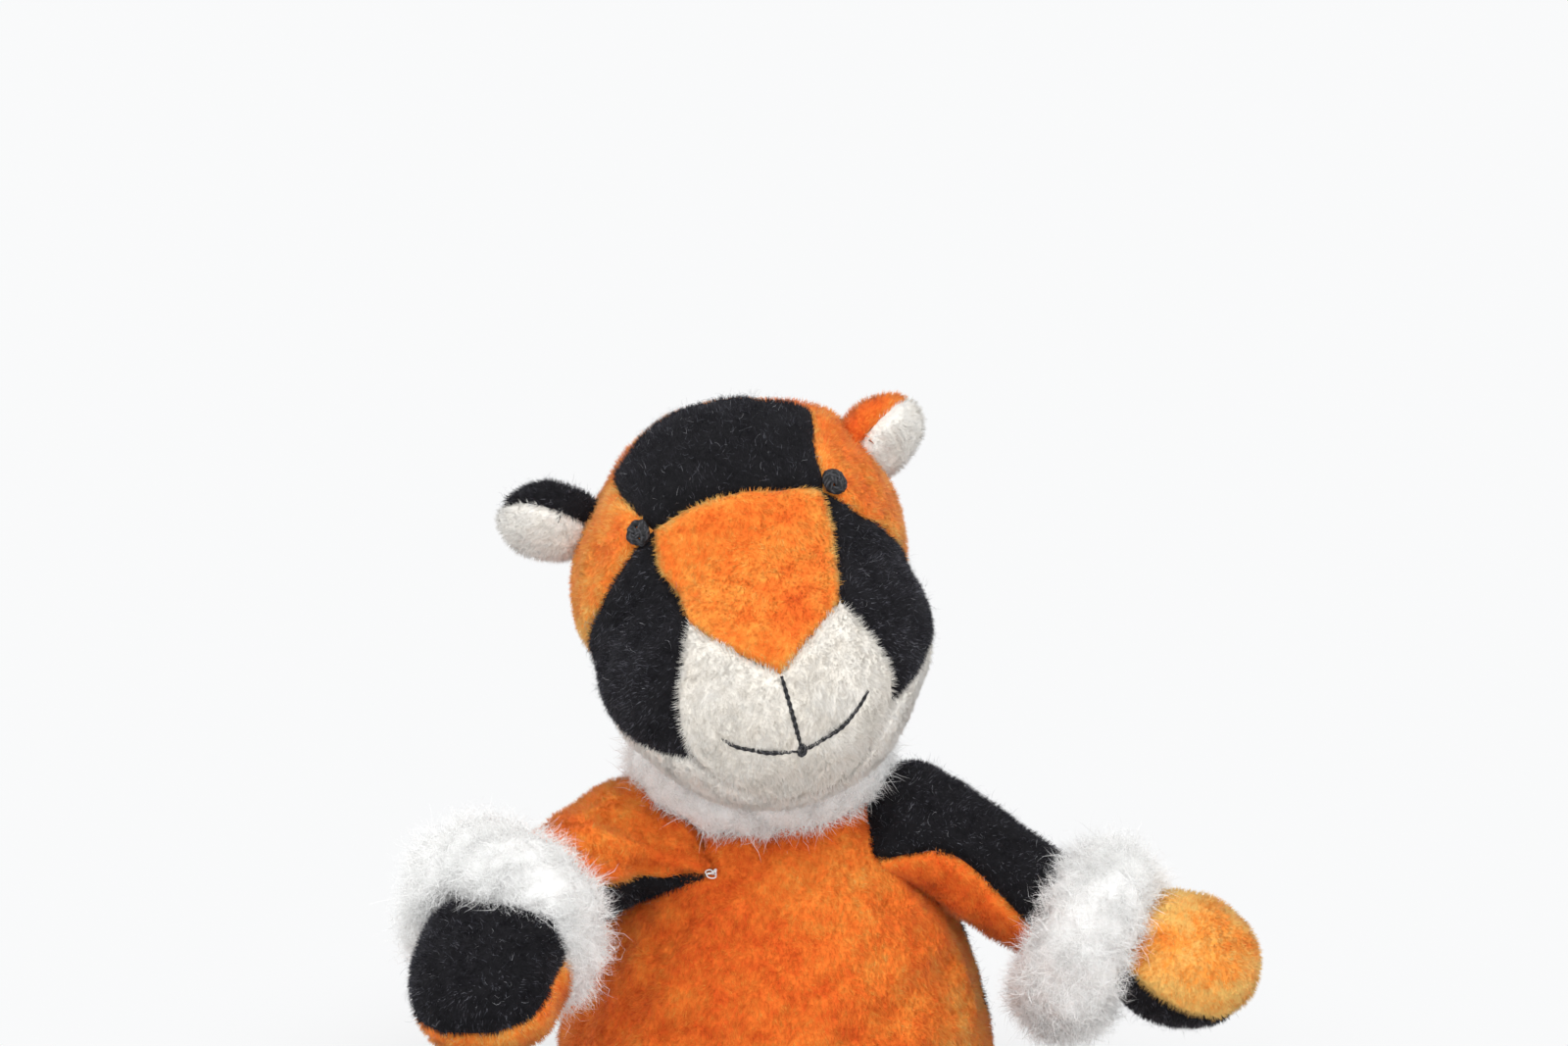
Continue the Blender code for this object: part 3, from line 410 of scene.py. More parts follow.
def ribbons(root, way, reach, curl, width, source):
    """Slim curved fibres: a short helix about each way, in three steps that taper to a point.

    Returns the corners as (fibre, 7, 3): two edges at three stations, then the tip.
    """
    count = len(root)
    sideways = unit(np.cross(way, source.normal(size=(count, 3))))
    upwards = np.cross(way, sideways)
    phase, turns = source.uniform(0, 2 * pi, count), source.uniform(2.0, 5.0, count)
    stations = np.linspace(0, 1, 4)
    centres = []
    for t in stations:
        angle = phase + turns * t
        along, up = (np.cos(angle) - np.cos(phase))[:, None], (np.sin(angle) - np.sin(phase))[:, None]
        swing = (along * sideways + up * upwards) * (curl * (0.3 + 0.7 * t))[:, None]
        centres.append(root + way * (reach * t)[:, None] + swing)
    edge = sideways * (width / 2)
    corners = []
    for centre, share in zip(centres[:3], (1.0, 0.9, 0.6)):
        corners += [centre - edge * share, centre + edge * share]
    return np.stack(corners + [centres[3]], 1)


def ribbon_mesh(count, first, low, high):
    """The faces of seven-cornered fibres, and their corners in the bake map's low to high.

    Each fibre is two four-sided faces and a three-sided one, on one small cell of the map.
    """
    base = first + 7 * np.arange(count)[:, None]
    bands, end = np.array([[0, 1, 3, 2], [2, 3, 5, 4]]), np.array([4, 5, 6])
    cells = cell_map(count, low, high)
    left, right, rise = cells[:, 0], cells[:, 1], (cells[:, 2] - cells[:, 0]) * (0, 1 / 3)
    spots = np.stack([side + step * rise for step in range(3) for side in (left, right)] + [cells[:, 2]], 1)
    faces = (base[:, None] + bands).reshape(-1, 4).tolist() + (base + end).tolist()
    return faces, np.vstack([spots[:, bands].reshape(-1, 2), spots[:, end].reshape(-1, 2)])


def gathered(root, tip, size, pull):
    """Draw blades' tips towards the mean tip of their tuft; returns tips and tuft numbers.

    Tufts are the cells of a space grid of the given size, its walls bent by slow noise.
    """
    bent = root + 0.5 * size * np.stack([ripple(root, 5 * size, seed) for seed in (51, 52, 53)], -1)
    _, tuft = np.unique(np.floor(bent / size).astype(int), axis=0, return_inverse=True)
    tuft = tuft.ravel()
    members = np.bincount(tuft)[:, None]
    middle = np.stack([np.bincount(tuft, tip[:, axis]) for axis in range(3)], -1) / members
    return tip + (middle[tuft] - tip) * pull, tuft


def velboa_panel(name, slot, surface, columns, rows, inside, comb, body=None, density=12.0, length=1.2,
                 creases=(), trim=None, fill=0.8, lift=0.0, **looks):
    """A panel of pile cloth: a thin closed shell with its nap standing on it.

    surface(u, v) gives the outside; inside is a point well inside the form. The edge is
    drawn in along the seams, by a bell of the distance from them. Each fibre is one slim
    triangle from a random root, leaning along the comb, a direction or a function of place,
    and gathered in tufts. density is
    in fibres on a square millimetre, and length in millimetres. lift is how much lighter
    the nap is painted, all over or by place in millimetres; on some panels it is painted light and
    shade, such as the shade under the ruff and the highlight on the right paw. looks override the pile's NAP.
    """
    nap = {**NAP[slot], **looks}
    source = np.random.default_rng(list(name.encode()))
    u, v = np.meshgrid(np.linspace(0, 1, columns + 1), np.linspace(0, 1, rows + 1))
    points = surface(u, v)
    if (grid_normals(points) * (points - np.array(inside))).sum() < 0:
        points = points[:, ::-1]
    edge = edge_distance(points)
    points = points - grid_normals(points) * (SEAM_DEPTH * np.exp(-(edge / SEAM_WIDTH) ** 2))[..., None]
    points = creased(points, grid_normals(points), creases)
    uneven = 0.18 * ripple(points, 8 * MM, 21) + 0.08 * ripple(points, 2.6 * MM, 22)
    points = points + grid_normals(points) * (MM * uneven)[..., None]
    normals = grid_normals(points)
    points[..., 2] = np.maximum(points[..., 2], GROUND_GAP)
    inner = points - normals * CLOTH_WALL
    inner[..., 2] = np.maximum(inner[..., 2], GROUND_GAP * 2)

    size = (rows + 1) * (columns + 1)
    quads = grid_faces(columns, rows)
    index = np.arange(size).reshape(rows + 1, columns + 1)
    loop = np.concatenate([index[0, :-1], index[:-1, -1], index[-1, :0:-1], index[:0:-1, 0]])
    after = np.roll(loop, -1)
    shell = np.vstack([quads, quads[:, ::-1] + size, np.stack([after, loop, loop + size, after + size], -1)])
    top, lint_top = 0.2, 0.24
    flat_map = np.vstack([
        np.stack([start + u.ravel() * width, v.ravel() * top], -1) for start, width in ((0, 0.8), (0.81, 0.18))])
    # The panel's lift: a tone shift, with painted light and shade on some panels.
    tone_lift = lift(points / MM) if callable(lift) else lift
    # Within 1.5 mm of a seam the cloth is painted lighter by the rim less 0.12: a painted highlight on orange, painted
    # shade in the seam on black and cream.
    cloth_tone = (0.40 + tone_lift + (nap["rim"] - 0.12) * np.exp(-(edge / (1.5 * MM)) ** 2)).ravel()

    area = cell_areas(points)[1].sum() / MM ** 2
    count = int(density * area * FIBRE_COUNT_SHARE)
    spots = scattered(points, count, source)
    root, normal = read_at(points, spots), unit(read_at(normals, spots))
    near = read_at(edge, spots)[:, 0] / MM
    combed = comb(root) if callable(comb) else np.array(comb, float)
    out_over = unit(root - points.mean((0, 1))) * (1.6 * nap["over"] * np.exp(-(near / 1.1) ** 2))[:, None]
    swirl = np.stack([ripple(root, 7 * MM, seed) for seed in (31, 32, 33)], -1)
    lean = combed + swirl * 0.5 + out_over
    lean -= normal * (lean * normal).sum(-1, keepdims=True)
    way = unit(normal + lean + source.normal(size=(count, 3)) * 0.45)
    shortened = np.ones(count) if trim is None else trim(root)
    reach = length * MM * source.uniform(0.7, 1.15, count) * shortened
    tip, tufts = gathered(root, root + way * reach[:, None], nap["tuft"] * MM, nap["pull"])
    way = unit(tip - root)
    sideways = unit(np.cross(way, normal) + 0.35 * source.normal(size=(count, 3)))
    sideways = unit(sideways - way * (sideways * way).sum(-1, keepdims=True)) * (FIBRE_WIDTH / 2)
    base = root - normal * 0.15 * MM
    corners = np.stack([base - sideways, base + sideways, tip], 1)
    turned = (np.cross(corners[:, 1] - corners[:, 0], tip - base) * normal).sum(-1) < 0
    corners[turned] = corners[turned][:, [1, 0, 2]]
    strand = 0.50 + nap["speck"] * source.normal(size=count) + (0.04 * source.normal(size=tufts.max() + 1))[tufts]
    # Fibres near a seam are painted lighter by the rim: a painted highlight.
    strand += 0.06 * ripple(root, 1.6 * MM, 41) + nap["rim"] * np.exp(-(near / 1.8) ** 2)
    strand += lift(root / MM) if callable(lift) else lift
    # Each fibre is painted darker at its root and lighter at its tip: painted shade deep in the pile and a painted
    # highlight on the tips.
    strand_tone = np.stack([strand - 0.14, strand - 0.14, strand + 0.12 * shortened], -1)
    lit = unit(normal * 0.85 + way * 0.15 + 0.12 * source.normal(size=(count, 3)))

    hairs = int(nap["stray"] * area)
    hair_spots = scattered(points, hairs, source)
    hair_normal = unit(read_at(normals, hair_spots))
    hair_way = unit(hair_normal * 0.15 + source.normal(size=(hairs, 3)))
    hair_root = read_at(points, hair_spots) + hair_normal * (length * 0.9 * MM)
    hair_reach, hair_curl = MM * source.uniform(0.6, 1.8, hairs), MM * source.uniform(0.15, 0.5, hairs)
    hair_corners = ribbons(hair_root, hair_way, hair_reach, hair_curl, HAIR_WIDTH, source)
    hair_faces, hair_map = ribbon_mesh(hairs, 2 * size + 3 * count, top + 0.005, lint_top)

    blades = 2 * size + np.arange(3 * count).reshape(count, 3)
    all_points = np.vstack([part.reshape(-1, 3) for part in (points, inner, corners, hair_corners)])
    all_points[:, 2] = np.maximum(all_points[:, 2], GROUND_GAP)
    face_finish = np.concatenate([np.zeros(len(shell)), np.ones(count), np.full(3 * hairs, 2)])
    uv = np.vstack([
        flat_map[shell].reshape(-1, 2), cell_map(count, lint_top + 0.005, 1.0).reshape(-1, 2), hair_map])
    loops = np.vstack([np.zeros((4 * len(shell), 3)), np.repeat(lit, 3, 0), np.zeros((11 * hairs, 3))])
    hair_tone = np.repeat(0.3 + 0.7 * source.uniform(size=hairs) ** 3, 7)
    tone = np.concatenate([cloth_tone, cloth_tone - 0.1, strand_tone.ravel(), hair_tone])
    facing = np.vstack([normals.reshape(-1, 3)] * 2 + [np.repeat(lit, 3, 0), np.repeat(hair_normal, 7, 0)])
    piece = add_piece(
        name + "_cloth", all_points, shell.tolist() + blades.tolist() + hair_faces, tone, VELBOA[slot],
        face_finish, uv, loops, facing)
    return stand_in(piece, name, body)


def body_radius(height):
    """Half width of the pear at a height, from its outline of shares."""
    outline = smooth_line(BODY_OUTLINE_SHARES, np.linspace(0, 1, 80))
    return BODY_HALF_WIDTH * np.interp(height / BODY_HEIGHT, outline[:, 0], outline[:, 1])


def body_place(turn, height, depth=0.0):
    """A point on the pear: turn from +X towards +Y, height over the seat, depth under the cloth.

    Each bell swells it outwards by a bell curve of the distance from a place.
    """
    radius = body_radius(height) - depth
    points = np.stack([radius * np.cos(turn), radius * np.sin(turn) * BODY_DEPTH_SHARE, height + 0 * turn], -1)
    outwards = unit(points * np.array([1, 1, 0]))
    for place, swell, spread in BODY_BELLS:
        away = np.linalg.norm(points - place, axis=-1) / (spread * MM)
        points = points + outwards * (swell * MM * np.exp(-away ** 2))[..., None]
    return points


def body_surface(first):
    """Half the pear, from the seat seam up to the neck."""
    return lambda u, v: body_place(first + u * pi, SEAT_HEIGHT + v * (BODY_HEIGHT - SEAT_HEIGHT))


def seat_surface(u, v):
    """A square mapped to the seat's oval, flat in the middle and turned up at the rim."""
    across, along = 2 * u - 1, 2 * v - 1
    x, y = across * np.sqrt(1 - along ** 2 / 2), along * np.sqrt(1 - across ** 2 / 2)
    rim = float(body_radius(0.0))
    away = np.hypot(x, y)
    lift = np.clip((away - 0.8) / 0.2, 0, 1) ** 2 * 2.2 * MM
    return np.stack([x * rim, y * rim * BODY_DEPTH_SHARE, lift + GROUND_GAP], -1)


BODY_MIDDLE = (0, 0, 36 * MM)
BODY_CREASES = [
    ((13.6, -31, 34.5), (32, -15, 41.5), 1.0, 2.8),
    ((9, -33, 30), (33, -14, 36), 0.8, 2.4),
    ((24, -14, 60), (30, -12, 52), 0.9, 2.2),
    ((17, -17, 62), (20, -19, 55), 0.5, 2.0),
    ((-14.4, -18, 66.5), (-12.2, -18.5, 60), 0.9, 0.9),
    ((-12, -21.5, 60), (-4, -25, 57), 0.3, 1.8)]


def chest_shade_and_tone(place):
    """The chest's nap: painted shade in a band under the ruff, and paler towards the right side."""
    under = np.exp(-((place[..., 2] - 70) / 7) ** 2)
    return 0.14 / (1 + np.exp(-(place[..., 0] - 12) / 5)) - 0.12 * under


def body_core(u, v):
    """The body's stuffing: the pear 3.4 mm under its cloth, drawn to its axis at both ends."""
    inside = np.where(np.minimum(v, 1 - v) > 0, 1.0, 0.0)[..., None] ** np.array([1, 1, 0])
    return body_place(2 * pi * u, (14 + 57 * (1 - v)) * MM, 3.4 * MM) * inside


velboa_panel(
    "body_front", "orange_pile", body_surface(-pi), 120, 90, BODY_MIDDLE, (0, -0.2, -0.9), "torso",
    creases=BODY_CREASES, lift=chest_shade_and_tone)
velboa_panel(
    "body_back", "black_pile", body_surface(0.0), 110, 80, BODY_MIDDLE, (0, 0.2, -0.9), "torso", density=9.0)
velboa_panel(
    "seat_panel", "black_pile", seat_surface, 60, 60, (0, 0, 30 * MM), (0.4, 0, 0), "torso", density=4.0,
    length=0.8)
filling("body_fill", "body_stuffing", body_core, 48, 30, "torso")
filling(
    "bean_bag", "bean_pouch", cad_form("bean_pouch", 0.6 * MM), 40, 20, "torso", bean_cloth)

# Head.
# A round skull with a muzzle almost as wide, sewn from ten panels of pile cloth: black
# forehead and cheeks, orange bridge, sides and back, white muzzle and chin. It leans over.

HEAD_CENTRE = np.array([-6.0, -4.0, 110.0]) * MM
SKULL_CENTRE, SKULL_SIZES = np.array([0.0, 2.0, 1.0]) * MM, np.array([29.0, 28.0, 27.0]) * MM
MUZZLE_CENTRE, MUZZLE_SIZES = np.array([0.0, -20.0, -11.5]) * MM, np.array([28.8, 26.0, 21.5]) * MM
LOBE_BLEND = 3.0 * MM
# Where the stuffing is packed fuller or the seams draw the cloth in: degrees round from the
# nose, degrees up, millimetres outwards, and the bell's spread in degrees
PACKING = (
    (-42, -29, -2.9, 16), (40, -28, -3.6, 17), (-75, -6, 1.6, 16), (-112, 38, -2.4, 24), (110, 38, 1.7, 16))
HEAD_UP = np.array([0.0, 0.02, 1.0])
FINER = 6


def turn_about(axis, degrees):
    """The matrix that turns about X, Y or Z, given as 0, 1 or 2."""
    first, second = (axis + 1) % 3, (axis + 2) % 3
    turn = np.eye(3)
    turn[first, first] = turn[second, second] = cos(radians(degrees))
    turn[second, first] = sin(radians(degrees))
    turn[first, second] = -turn[second, first]
    return turn


HEAD_FRAME = turn_about(2, 6) @ turn_about(1, -15) @ turn_about(0, 12)


def lobe_reach(directions, centre, sizes):
    """How far an ellipsoid's wall lies from the head's centre along each direction."""
    stretched, offset = directions / sizes, centre / sizes
    square, along = (stretched ** 2).sum(-1), stretched @ offset
    return (along + np.sqrt(np.maximum(along ** 2 - square * (offset @ offset - 1), 0))) / square


def aim(angles):
    """Directions from (degrees round from the nose, degrees up)."""
    side, up = np.radians(np.asarray(angles, dtype=float)).T
    return np.stack([np.sin(side) * np.cos(up), -np.cos(side) * np.cos(up), np.sin(up)], -1)


def head_point(directions, depth=0.0):
    """Points of the head: the skull's and the muzzle's walls blended by a soft maximum.

    Each place of the packing adds a bell of the angle from it.
    """
    skull = lobe_reach(directions, SKULL_CENTRE, SKULL_SIZES) / LOBE_BLEND
    muzzle = lobe_reach(directions, MUZZLE_CENTRE, MUZZLE_SIZES) / LOBE_BLEND
    reach = np.logaddexp(skull, muzzle) * LOBE_BLEND - depth
    for side, up, amount, spread in PACKING:
        away = np.degrees(np.arccos(np.clip(directions @ aim((side, up)), -1, 1)))
        reach = reach + amount * MM * np.exp(-(away / spread) ** 2)
    return HEAD_CENTRE + (directions * reach[..., None]) @ HEAD_FRAME.T


def seam(angles, steps):
    """A seam through (degrees round from the nose, degrees up), as directions."""
    return unit(smooth_line(aim(angles), np.linspace(0, 1, steps * FINER + 1)))


def mirrored(line):
    """The same seam on the other side of the face."""
    return line * np.array([-1.0, 1.0, 1.0])


def joined(*lines):
    """Seams end to end, without doubling the shared points."""
    return np.vstack([lines[0]] + [line[1:] for line in lines[1:]])


def settled(line):
    """Seams as sewn: higher round the left eye, and out towards the right one.

    Each shift is a bell of the angle from its middle: degrees of shift, spread and way.
    """
    moved = line
    for middle, shift, spread, way in (
            ((-36, 22), 9.5, 24, (0, 0, 1.0)), ((43, 39), 5.5, 14, (0.73, 0.68, 0))):
        away = np.degrees(np.arccos(np.clip(line @ aim(middle), -1, 1)))
        moved = moved + (radians(shift) * np.exp(-(away / spread) ** 2))[:, None] * np.array(way)
    return unit(moved)


def head_surface(top, right, bottom, left):
    """A Coons patch between four seams, laid flat about its middle and thrown on the head."""
    middle = unit(settled(np.vstack([top, right, bottom, left])).mean(0))
    sideways = unit(np.cross(HEAD_UP, middle))
    upwards = np.cross(middle, sideways)

    def flat(line):
        away = np.arccos(np.clip(line @ middle, -1, 1))[:, None]
        return unit(np.stack([line @ sideways, line @ upwards], -1)) * away

    top, right, bottom, left = (flat(settled(line)) for line in (top, right, bottom, left))

    def place(u, v):
        u, v = u[..., None], v[..., None]
        ruled = (1 - v) * top[None] + v * bottom[None] + (1 - u) * left[:, None] + u * right[:, None]
        above, below = (1 - u) * top[0] + u * top[-1], (1 - u) * bottom[0] + u * bottom[-1]
        spread = ruled - (1 - v) * above - v * below
        away = np.linalg.norm(spread, axis=-1, keepdims=True)
        across = np.sinc(away / pi) * (spread[..., :1] * sideways + spread[..., 1:] * upwards)
        return head_point(unit(np.cos(away) * middle + across))

    return place, len(top) - 1, len(left) - 1


def nearest(points, line):
    """Distance of each point from the nearest of a line's samples."""
    return np.min(np.linalg.norm(points[:, None] - line[None], axis=-1), axis=1)


def head_way(vector):
    """A direction of the head's own frame in the toy's frame."""
    return HEAD_FRAME @ np.array(vector, float)


# Seams of the left half, negative round being the left
brow = seam([(-41.5, 36), (-17, 49), (0, 51), (17, 48.5), (41.5, 36)], 8)
temple = seam([(-107, 48), (-63, 47.5), (-41.5, 36)], 4)
crown = seam([(-107, 48), (-140, 58), (-180, 64)], 4)
bridge_side = seam([(-41.5, 36), (-36.5, 19), (-22, 7)], 5)
bridge_tip = seam([(-22, 7), (-9.5, 3), (0, -2)], 4)
cheek_outer = seam([(-41.5, 36), (-54, 22), (-68, 6), (-80, -10), (-73, -24)], 6)
cheek_inner = seam([(-22, 7), (-24, -2), (-25, -9), (-24, -17.5)], 6)
cheek_low = seam([(-73, -24), (-48, -20.5), (-24, -17.5)], 5)
chin = seam([(-24, -17.5), (-10, -32), (0, -35), (10, -32), (24, -17.5)], 8)
jaw = seam([(-73, -24), (-72, -50), (-70, -78)], 4)
ear_line = seam([(-107, 48), (-110, 20), (-115, -20), (-120, -50), (-120, -78)], 10)
back_line = seam([(-180, 64), (-180, 20), (-180, -30), (-180, -78)], 10)
throat_front = seam([(-70, -78), (-35, -78), (0, -78), (35, -78), (70, -78)], 18)
throat_side = seam([(-120, -78), (-95, -78), (-70, -78)], 4)
throat_back = seam([(-120, -78), (-150, -78), (-180, -78)], 4)
tip_line = joined(bridge_tip, mirrored(bridge_tip)[::-1])

# Where thread is sewn through the cloth, the nap is pressed down
EYE_RADIUS = 2.2 * MM
upright_line = head_point(seam([(0, -2), (0, -10), (0, -17)], 10))
smile_line = head_point(seam([(-17, -11), (-12, -14), (-6, -16), (0, -17), (6, -16), (12, -14), (17, -11)], 20))
mouth_line = np.vstack([upright_line, smile_line[len(smile_line) // 8:]])
eye_middles = head_point(aim([(-47, 39), (53, 35.5)]))


def pressed_by_mouth(points):
    """Nap length beside the mouth's thread: 0.3 on it, whole at 1.2 mm from it."""
    return 0.3 + 0.7 * np.clip(nearest(points, mouth_line) / (0.9 * MM) - 0.3, 0, 1)


def pressed_by_eyes(points):
    """Nap length round the eyes: 0.25 under the thread, whole beside it."""
    past = nearest(points, eye_middles) - EYE_RADIUS
    return 0.25 + 0.75 * np.clip((past + 0.3 * MM) / (0.6 * MM), 0, 1)


def head_panel(name, slot, seams, comb, trim=None, **looks):
    """One head panel on its seams: top, right, bottom and left."""
    place, columns, rows = head_surface(*seams)
    velboa_panel(name, slot, place, columns, rows, HEAD_CENTRE, comb, "head", trim=trim, fill=0.9, **looks)


DOWN_FACE = head_way((0, -0.3, -0.8))
head_panel(
    "forehead_patch", "black_pile",
    (joined(crown, mirrored(crown)[::-1]), mirrored(temple), brow, temple), head_way((0, 0.4, 0.9)),
    pressed_by_eyes, lift=-0.15)
head_panel(
    "muzzle_bridge", "orange_pile", (brow, mirrored(bridge_side), tip_line, bridge_side), DOWN_FACE,
    pressed_by_eyes, lift=0.12)
head_panel(
    "muzzle_front", "white_pile", (tip_line, mirrored(cheek_inner), chin, cheek_inner), head_way((0, -0.2, -0.7)),
    pressed_by_mouth, length=1.5)
head_panel(
    "chin_gusset", "white_pile",
    (joined(cheek_low, chin, mirrored(cheek_low)[::-1]), mirrored(jaw), throat_front, jaw), DOWN_FACE,
    tuft=1.3, pull=0.5, lift=0.15)
for side, sign, turned in (("left", -1.0, lambda line: line), ("right", 1.0, mirrored)):
    for name, slot, seams, comb, trim, looks in (
            ("cheek", "black_pile", (bridge_side, cheek_inner, cheek_low, cheek_outer), (sign * 0.5, 0, -0.8),
             pressed_by_eyes, {}),
            ("head_side", "orange_pile", (temple, joined(cheek_outer, jaw), throat_side, ear_line), (0, 0.2, -0.9),
             pressed_by_eyes, dict(lift=0.12)),
            ("head_back", "orange_pile", (crown, back_line, throat_back, ear_line), (0, 0.2, -0.9), None,
             dict(density=9.0))):
        head_panel(f"{side}_{name}", slot, [turned(line) for line in seams], head_way(comb), trim, **looks)
filling("head_fill", "head_stuffing", lambda u, v: head_point(ball(u, v), 3.4 * MM), 48, 30, "head")

# Ears.
# Each is a puffy little cushion of two ovals, white in front and black or orange behind,
# seamed round the rim, pinched at the root and sewn into the side of the head.

LEFT_EAR, RIGHT_EAR = np.array([-29.1, 7.3, 14.8]) * MM, np.array([28.5, 7.3, 13.0]) * MM
EAR_SIZES = np.array([9.2, 9.0, 5.2]) * MM
EAR_SEAM_DOWN, EAR_SEAM_OUT = 18, 30


def dome(u, v, facing):
    """A square spread over half a sphere: first to a disc, then to a dome, facing up or down."""
    across, up = 2 * u - 1, 2 * v - 1
    flat_across, flat_up = across * np.sqrt(1 - up ** 2 / 2), up * np.sqrt(1 - across ** 2 / 2)
    away = np.hypot(flat_across, flat_up) * pi / 2
    spread = np.sinc(away / pi) * pi / 2
    return np.stack([flat_across * spread, flat_up * spread, facing * np.cos(away)], -1)


for side, sign, place, back_slot in (
        ("left", -1.0, LEFT_EAR, "black_pile"), ("right", 1.0, RIGHT_EAR, "orange_pile")):
    turn = HEAD_FRAME @ turn_about(2, sign * 24) @ turn_about(0, 32)
    for half, facing, slot in (("front", -1.0, "white_pile"), ("back", 1.0, back_slot)):

        def ear_surface(u, v, facing=facing, place=place, turn=turn, sign=sign):
            """Half of an oval cushion: dome directions times its sizes.

            The seam lies tilted, so that the back's cloth comes over the top and the inner side.
            """
            spread = dome(u, v, 1.0)
            local = np.stack([spread[..., 0], facing * spread[..., 2], spread[..., 1]], -1)
            local = local @ (turn_about(2, sign * EAR_SEAM_OUT) @ turn_about(0, EAR_SEAM_DOWN)).T
            return HEAD_CENTRE + HEAD_FRAME @ place + (local * EAR_SIZES[[0, 2, 1]]) @ turn.T

        inwards = HEAD_CENTRE + HEAD_FRAME @ (place - np.array([sign * 9, 0, -2]) * MM)
        # The white fronts are painted lighter (lift 0.2): painted light, for the light the ears lose facing away from
        # the lamps.
        velboa_panel(
            f"{side}_ear_{half}", slot, ear_surface, 44, 44, HEAD_CENTRE + HEAD_FRAME @ place,
            lambda places: unit(places - inwards) * 0.9, "head", length=1.3, lift=0.2 if half == "front" else 0.0)

# Eyes and mouth.
# Black sewing thread, stitched through the finished head: a round knot of looped stitches
# for each eye, and one upright and one curved line for the mouth.

THREAD_RADIUS = 0.36 * MM
# Black thread, its lightest tone a painted sheen on the crowns of the plies.
black_thread = finish_of(
    "black_thread", [(0.0, (0.004, 0.004, 0.005)), (0.6, (0.014, 0.014, 0.016)), (1.0, (0.09, 0.09, 0.10))],
    ((400.0, 0.2), (3000.0, 0.4)), 0.0, 0.6)


def rope(line, radii, sides=8, twist=0.0, aside=(0, 0, 1), first=0):
    """A tube along a line of points, its section a circle pressed in where two plies meet.

    Returns points, faces and tones. The tones are painted light and shade: lighter on the crown of
    each ply and darker where two plies meet. The radius swells by the cosine of twice the angle less
    the twist, and both ends close to a point.
    """
    forward = unit(np.gradient(line, axis=0))
    sideways = unit(np.cross(np.broadcast_to(aside, forward.shape), forward))
    upwards = np.cross(forward, sideways)
    angles = np.linspace(0, 2 * pi, sides + 1)[:-1]
    run = np.concatenate([[0], np.cumsum(np.linalg.norm(np.diff(line, axis=0), axis=1))])
    ply = np.cos(2 * (angles[None] - run[:, None] * twist))
    radius = np.asarray(radii)[:, None] * (1 + 0.22 * ply)
    points = line[:, None] + radius[..., None] * (
        np.cos(angles)[None, :, None] * sideways[:, None] + np.sin(angles)[None, :, None] * upwards[:, None])
    index = first + np.arange(len(line) * sides).reshape(len(line), sides)
    after = np.roll(index, -1, 1)
    quads = np.stack([index[:-1], after[:-1], after[1:], index[1:]], -1).reshape(-1, 4).tolist()
    caps = [index[0][::-1].tolist(), index[-1].tolist()]
    return points.reshape(-1, 3), quads + caps, (0.5 + 0.35 * ply).ravel()


def thread_piece(name, lines, radius, twist, aside):
    """Threads in one piece: one rope for each line, thinner towards its ends."""
    points, faces, tones = [], [], []
    for line in lines:
        taper = np.sin(np.linspace(0.25, pi - 0.25, len(line))) ** 0.3
        made = rope(line, radius * taper, 8, twist, aside, sum(len(part) for part in points))
        points.append(made[0])
        faces += made[1]
        tones.append(made[2])
    piece = add_piece(name + "_thread", np.vstack(points), faces, np.concatenate(tones), [black_thread])
    stand_in(piece, name, body="head")


def lifted(line, lift):
    """A line on the head raised square to it, with a slight hand-sewn waver."""
    outwards = unit(line - HEAD_CENTRE)
    return line + outwards * (lift + 0.15 * MM * ripple(line, 5 * MM, 61))[:, None]


thread_aside = head_way((0, -1, -0.3))
thread_piece("mouth_upright", [lifted(upright_line[:-3], 0.25 * MM)], THREAD_RADIUS, 2600.0, thread_aside)
stitch_end = smile_line[len(smile_line) // 2]
knot_turns = np.linspace(0, 4 * pi, 40)[:, None]
knot_across = np.cos(knot_turns) * head_way((0.55, 0, 0.3)) + np.sin(knot_turns) * head_way((0, 0, 0.75))
knot_loop = stitch_end + (head_way((0, -1, 0)) * 0.55 + knot_across) * MM
smile_lift = (0.2 - 0.7 * np.exp(-(np.linspace(0, 1, len(smile_line)) / 0.09) ** 2)) * MM
thread_piece("mouth_smile", [lifted(smile_line, smile_lift), knot_loop], THREAD_RADIUS, 2600.0, thread_aside)

EYE_TURNS, EYE_SIZE = 7, 1.8 * MM
for side, middle in zip(("left", "right"), eye_middles):
    outwards = unit(unit(middle - HEAD_CENTRE) + 0.3 * head_way((0, -1, 0.1)))
    sideways = unit(np.cross(head_way((0, 0, 1)), outwards))
    upwards = np.cross(outwards, sideways)
    wound = np.linspace(0, 2 * pi * EYE_TURNS, 26 * EYE_TURNS)
    # Each turn lies in its own tilted plane, which goes on turning: a ball of wound thread
    tilt = np.radians(48 + 34 * np.sin(wound / (2 * pi) * 2.1 + (0.7 if side == "left" else 2.0)))
    plane = wound / (2 * pi) * 1.9
    across, over = np.cos(wound), np.sin(wound) * np.cos(tilt)
    x = across * np.cos(plane) - over * np.sin(plane)
    y = across * np.sin(plane) + over * np.cos(plane)
    raised = 0.35 * MM + 0.55 * EYE_SIZE * np.abs(np.sin(wound) * np.sin(tilt))
    size = EYE_SIZE * (1 + 0.13 * np.sin(wound * 0.37) + 0.10 * np.sin(wound * 1.31 + 1))
    flat = (size * x)[:, None] * sideways + (size * y)[:, None] * upwards
    stitches = middle + flat + raised[:, None] * outwards
    thread_piece(side + "_eye", [stitches], 0.44 * MM, 1900.0, outwards)

# Neck.
# A plug of stuffing joins the head to the body, and a strip of curly white plush is sewn
# round it as a ruff, its nap crushed into small tufts.

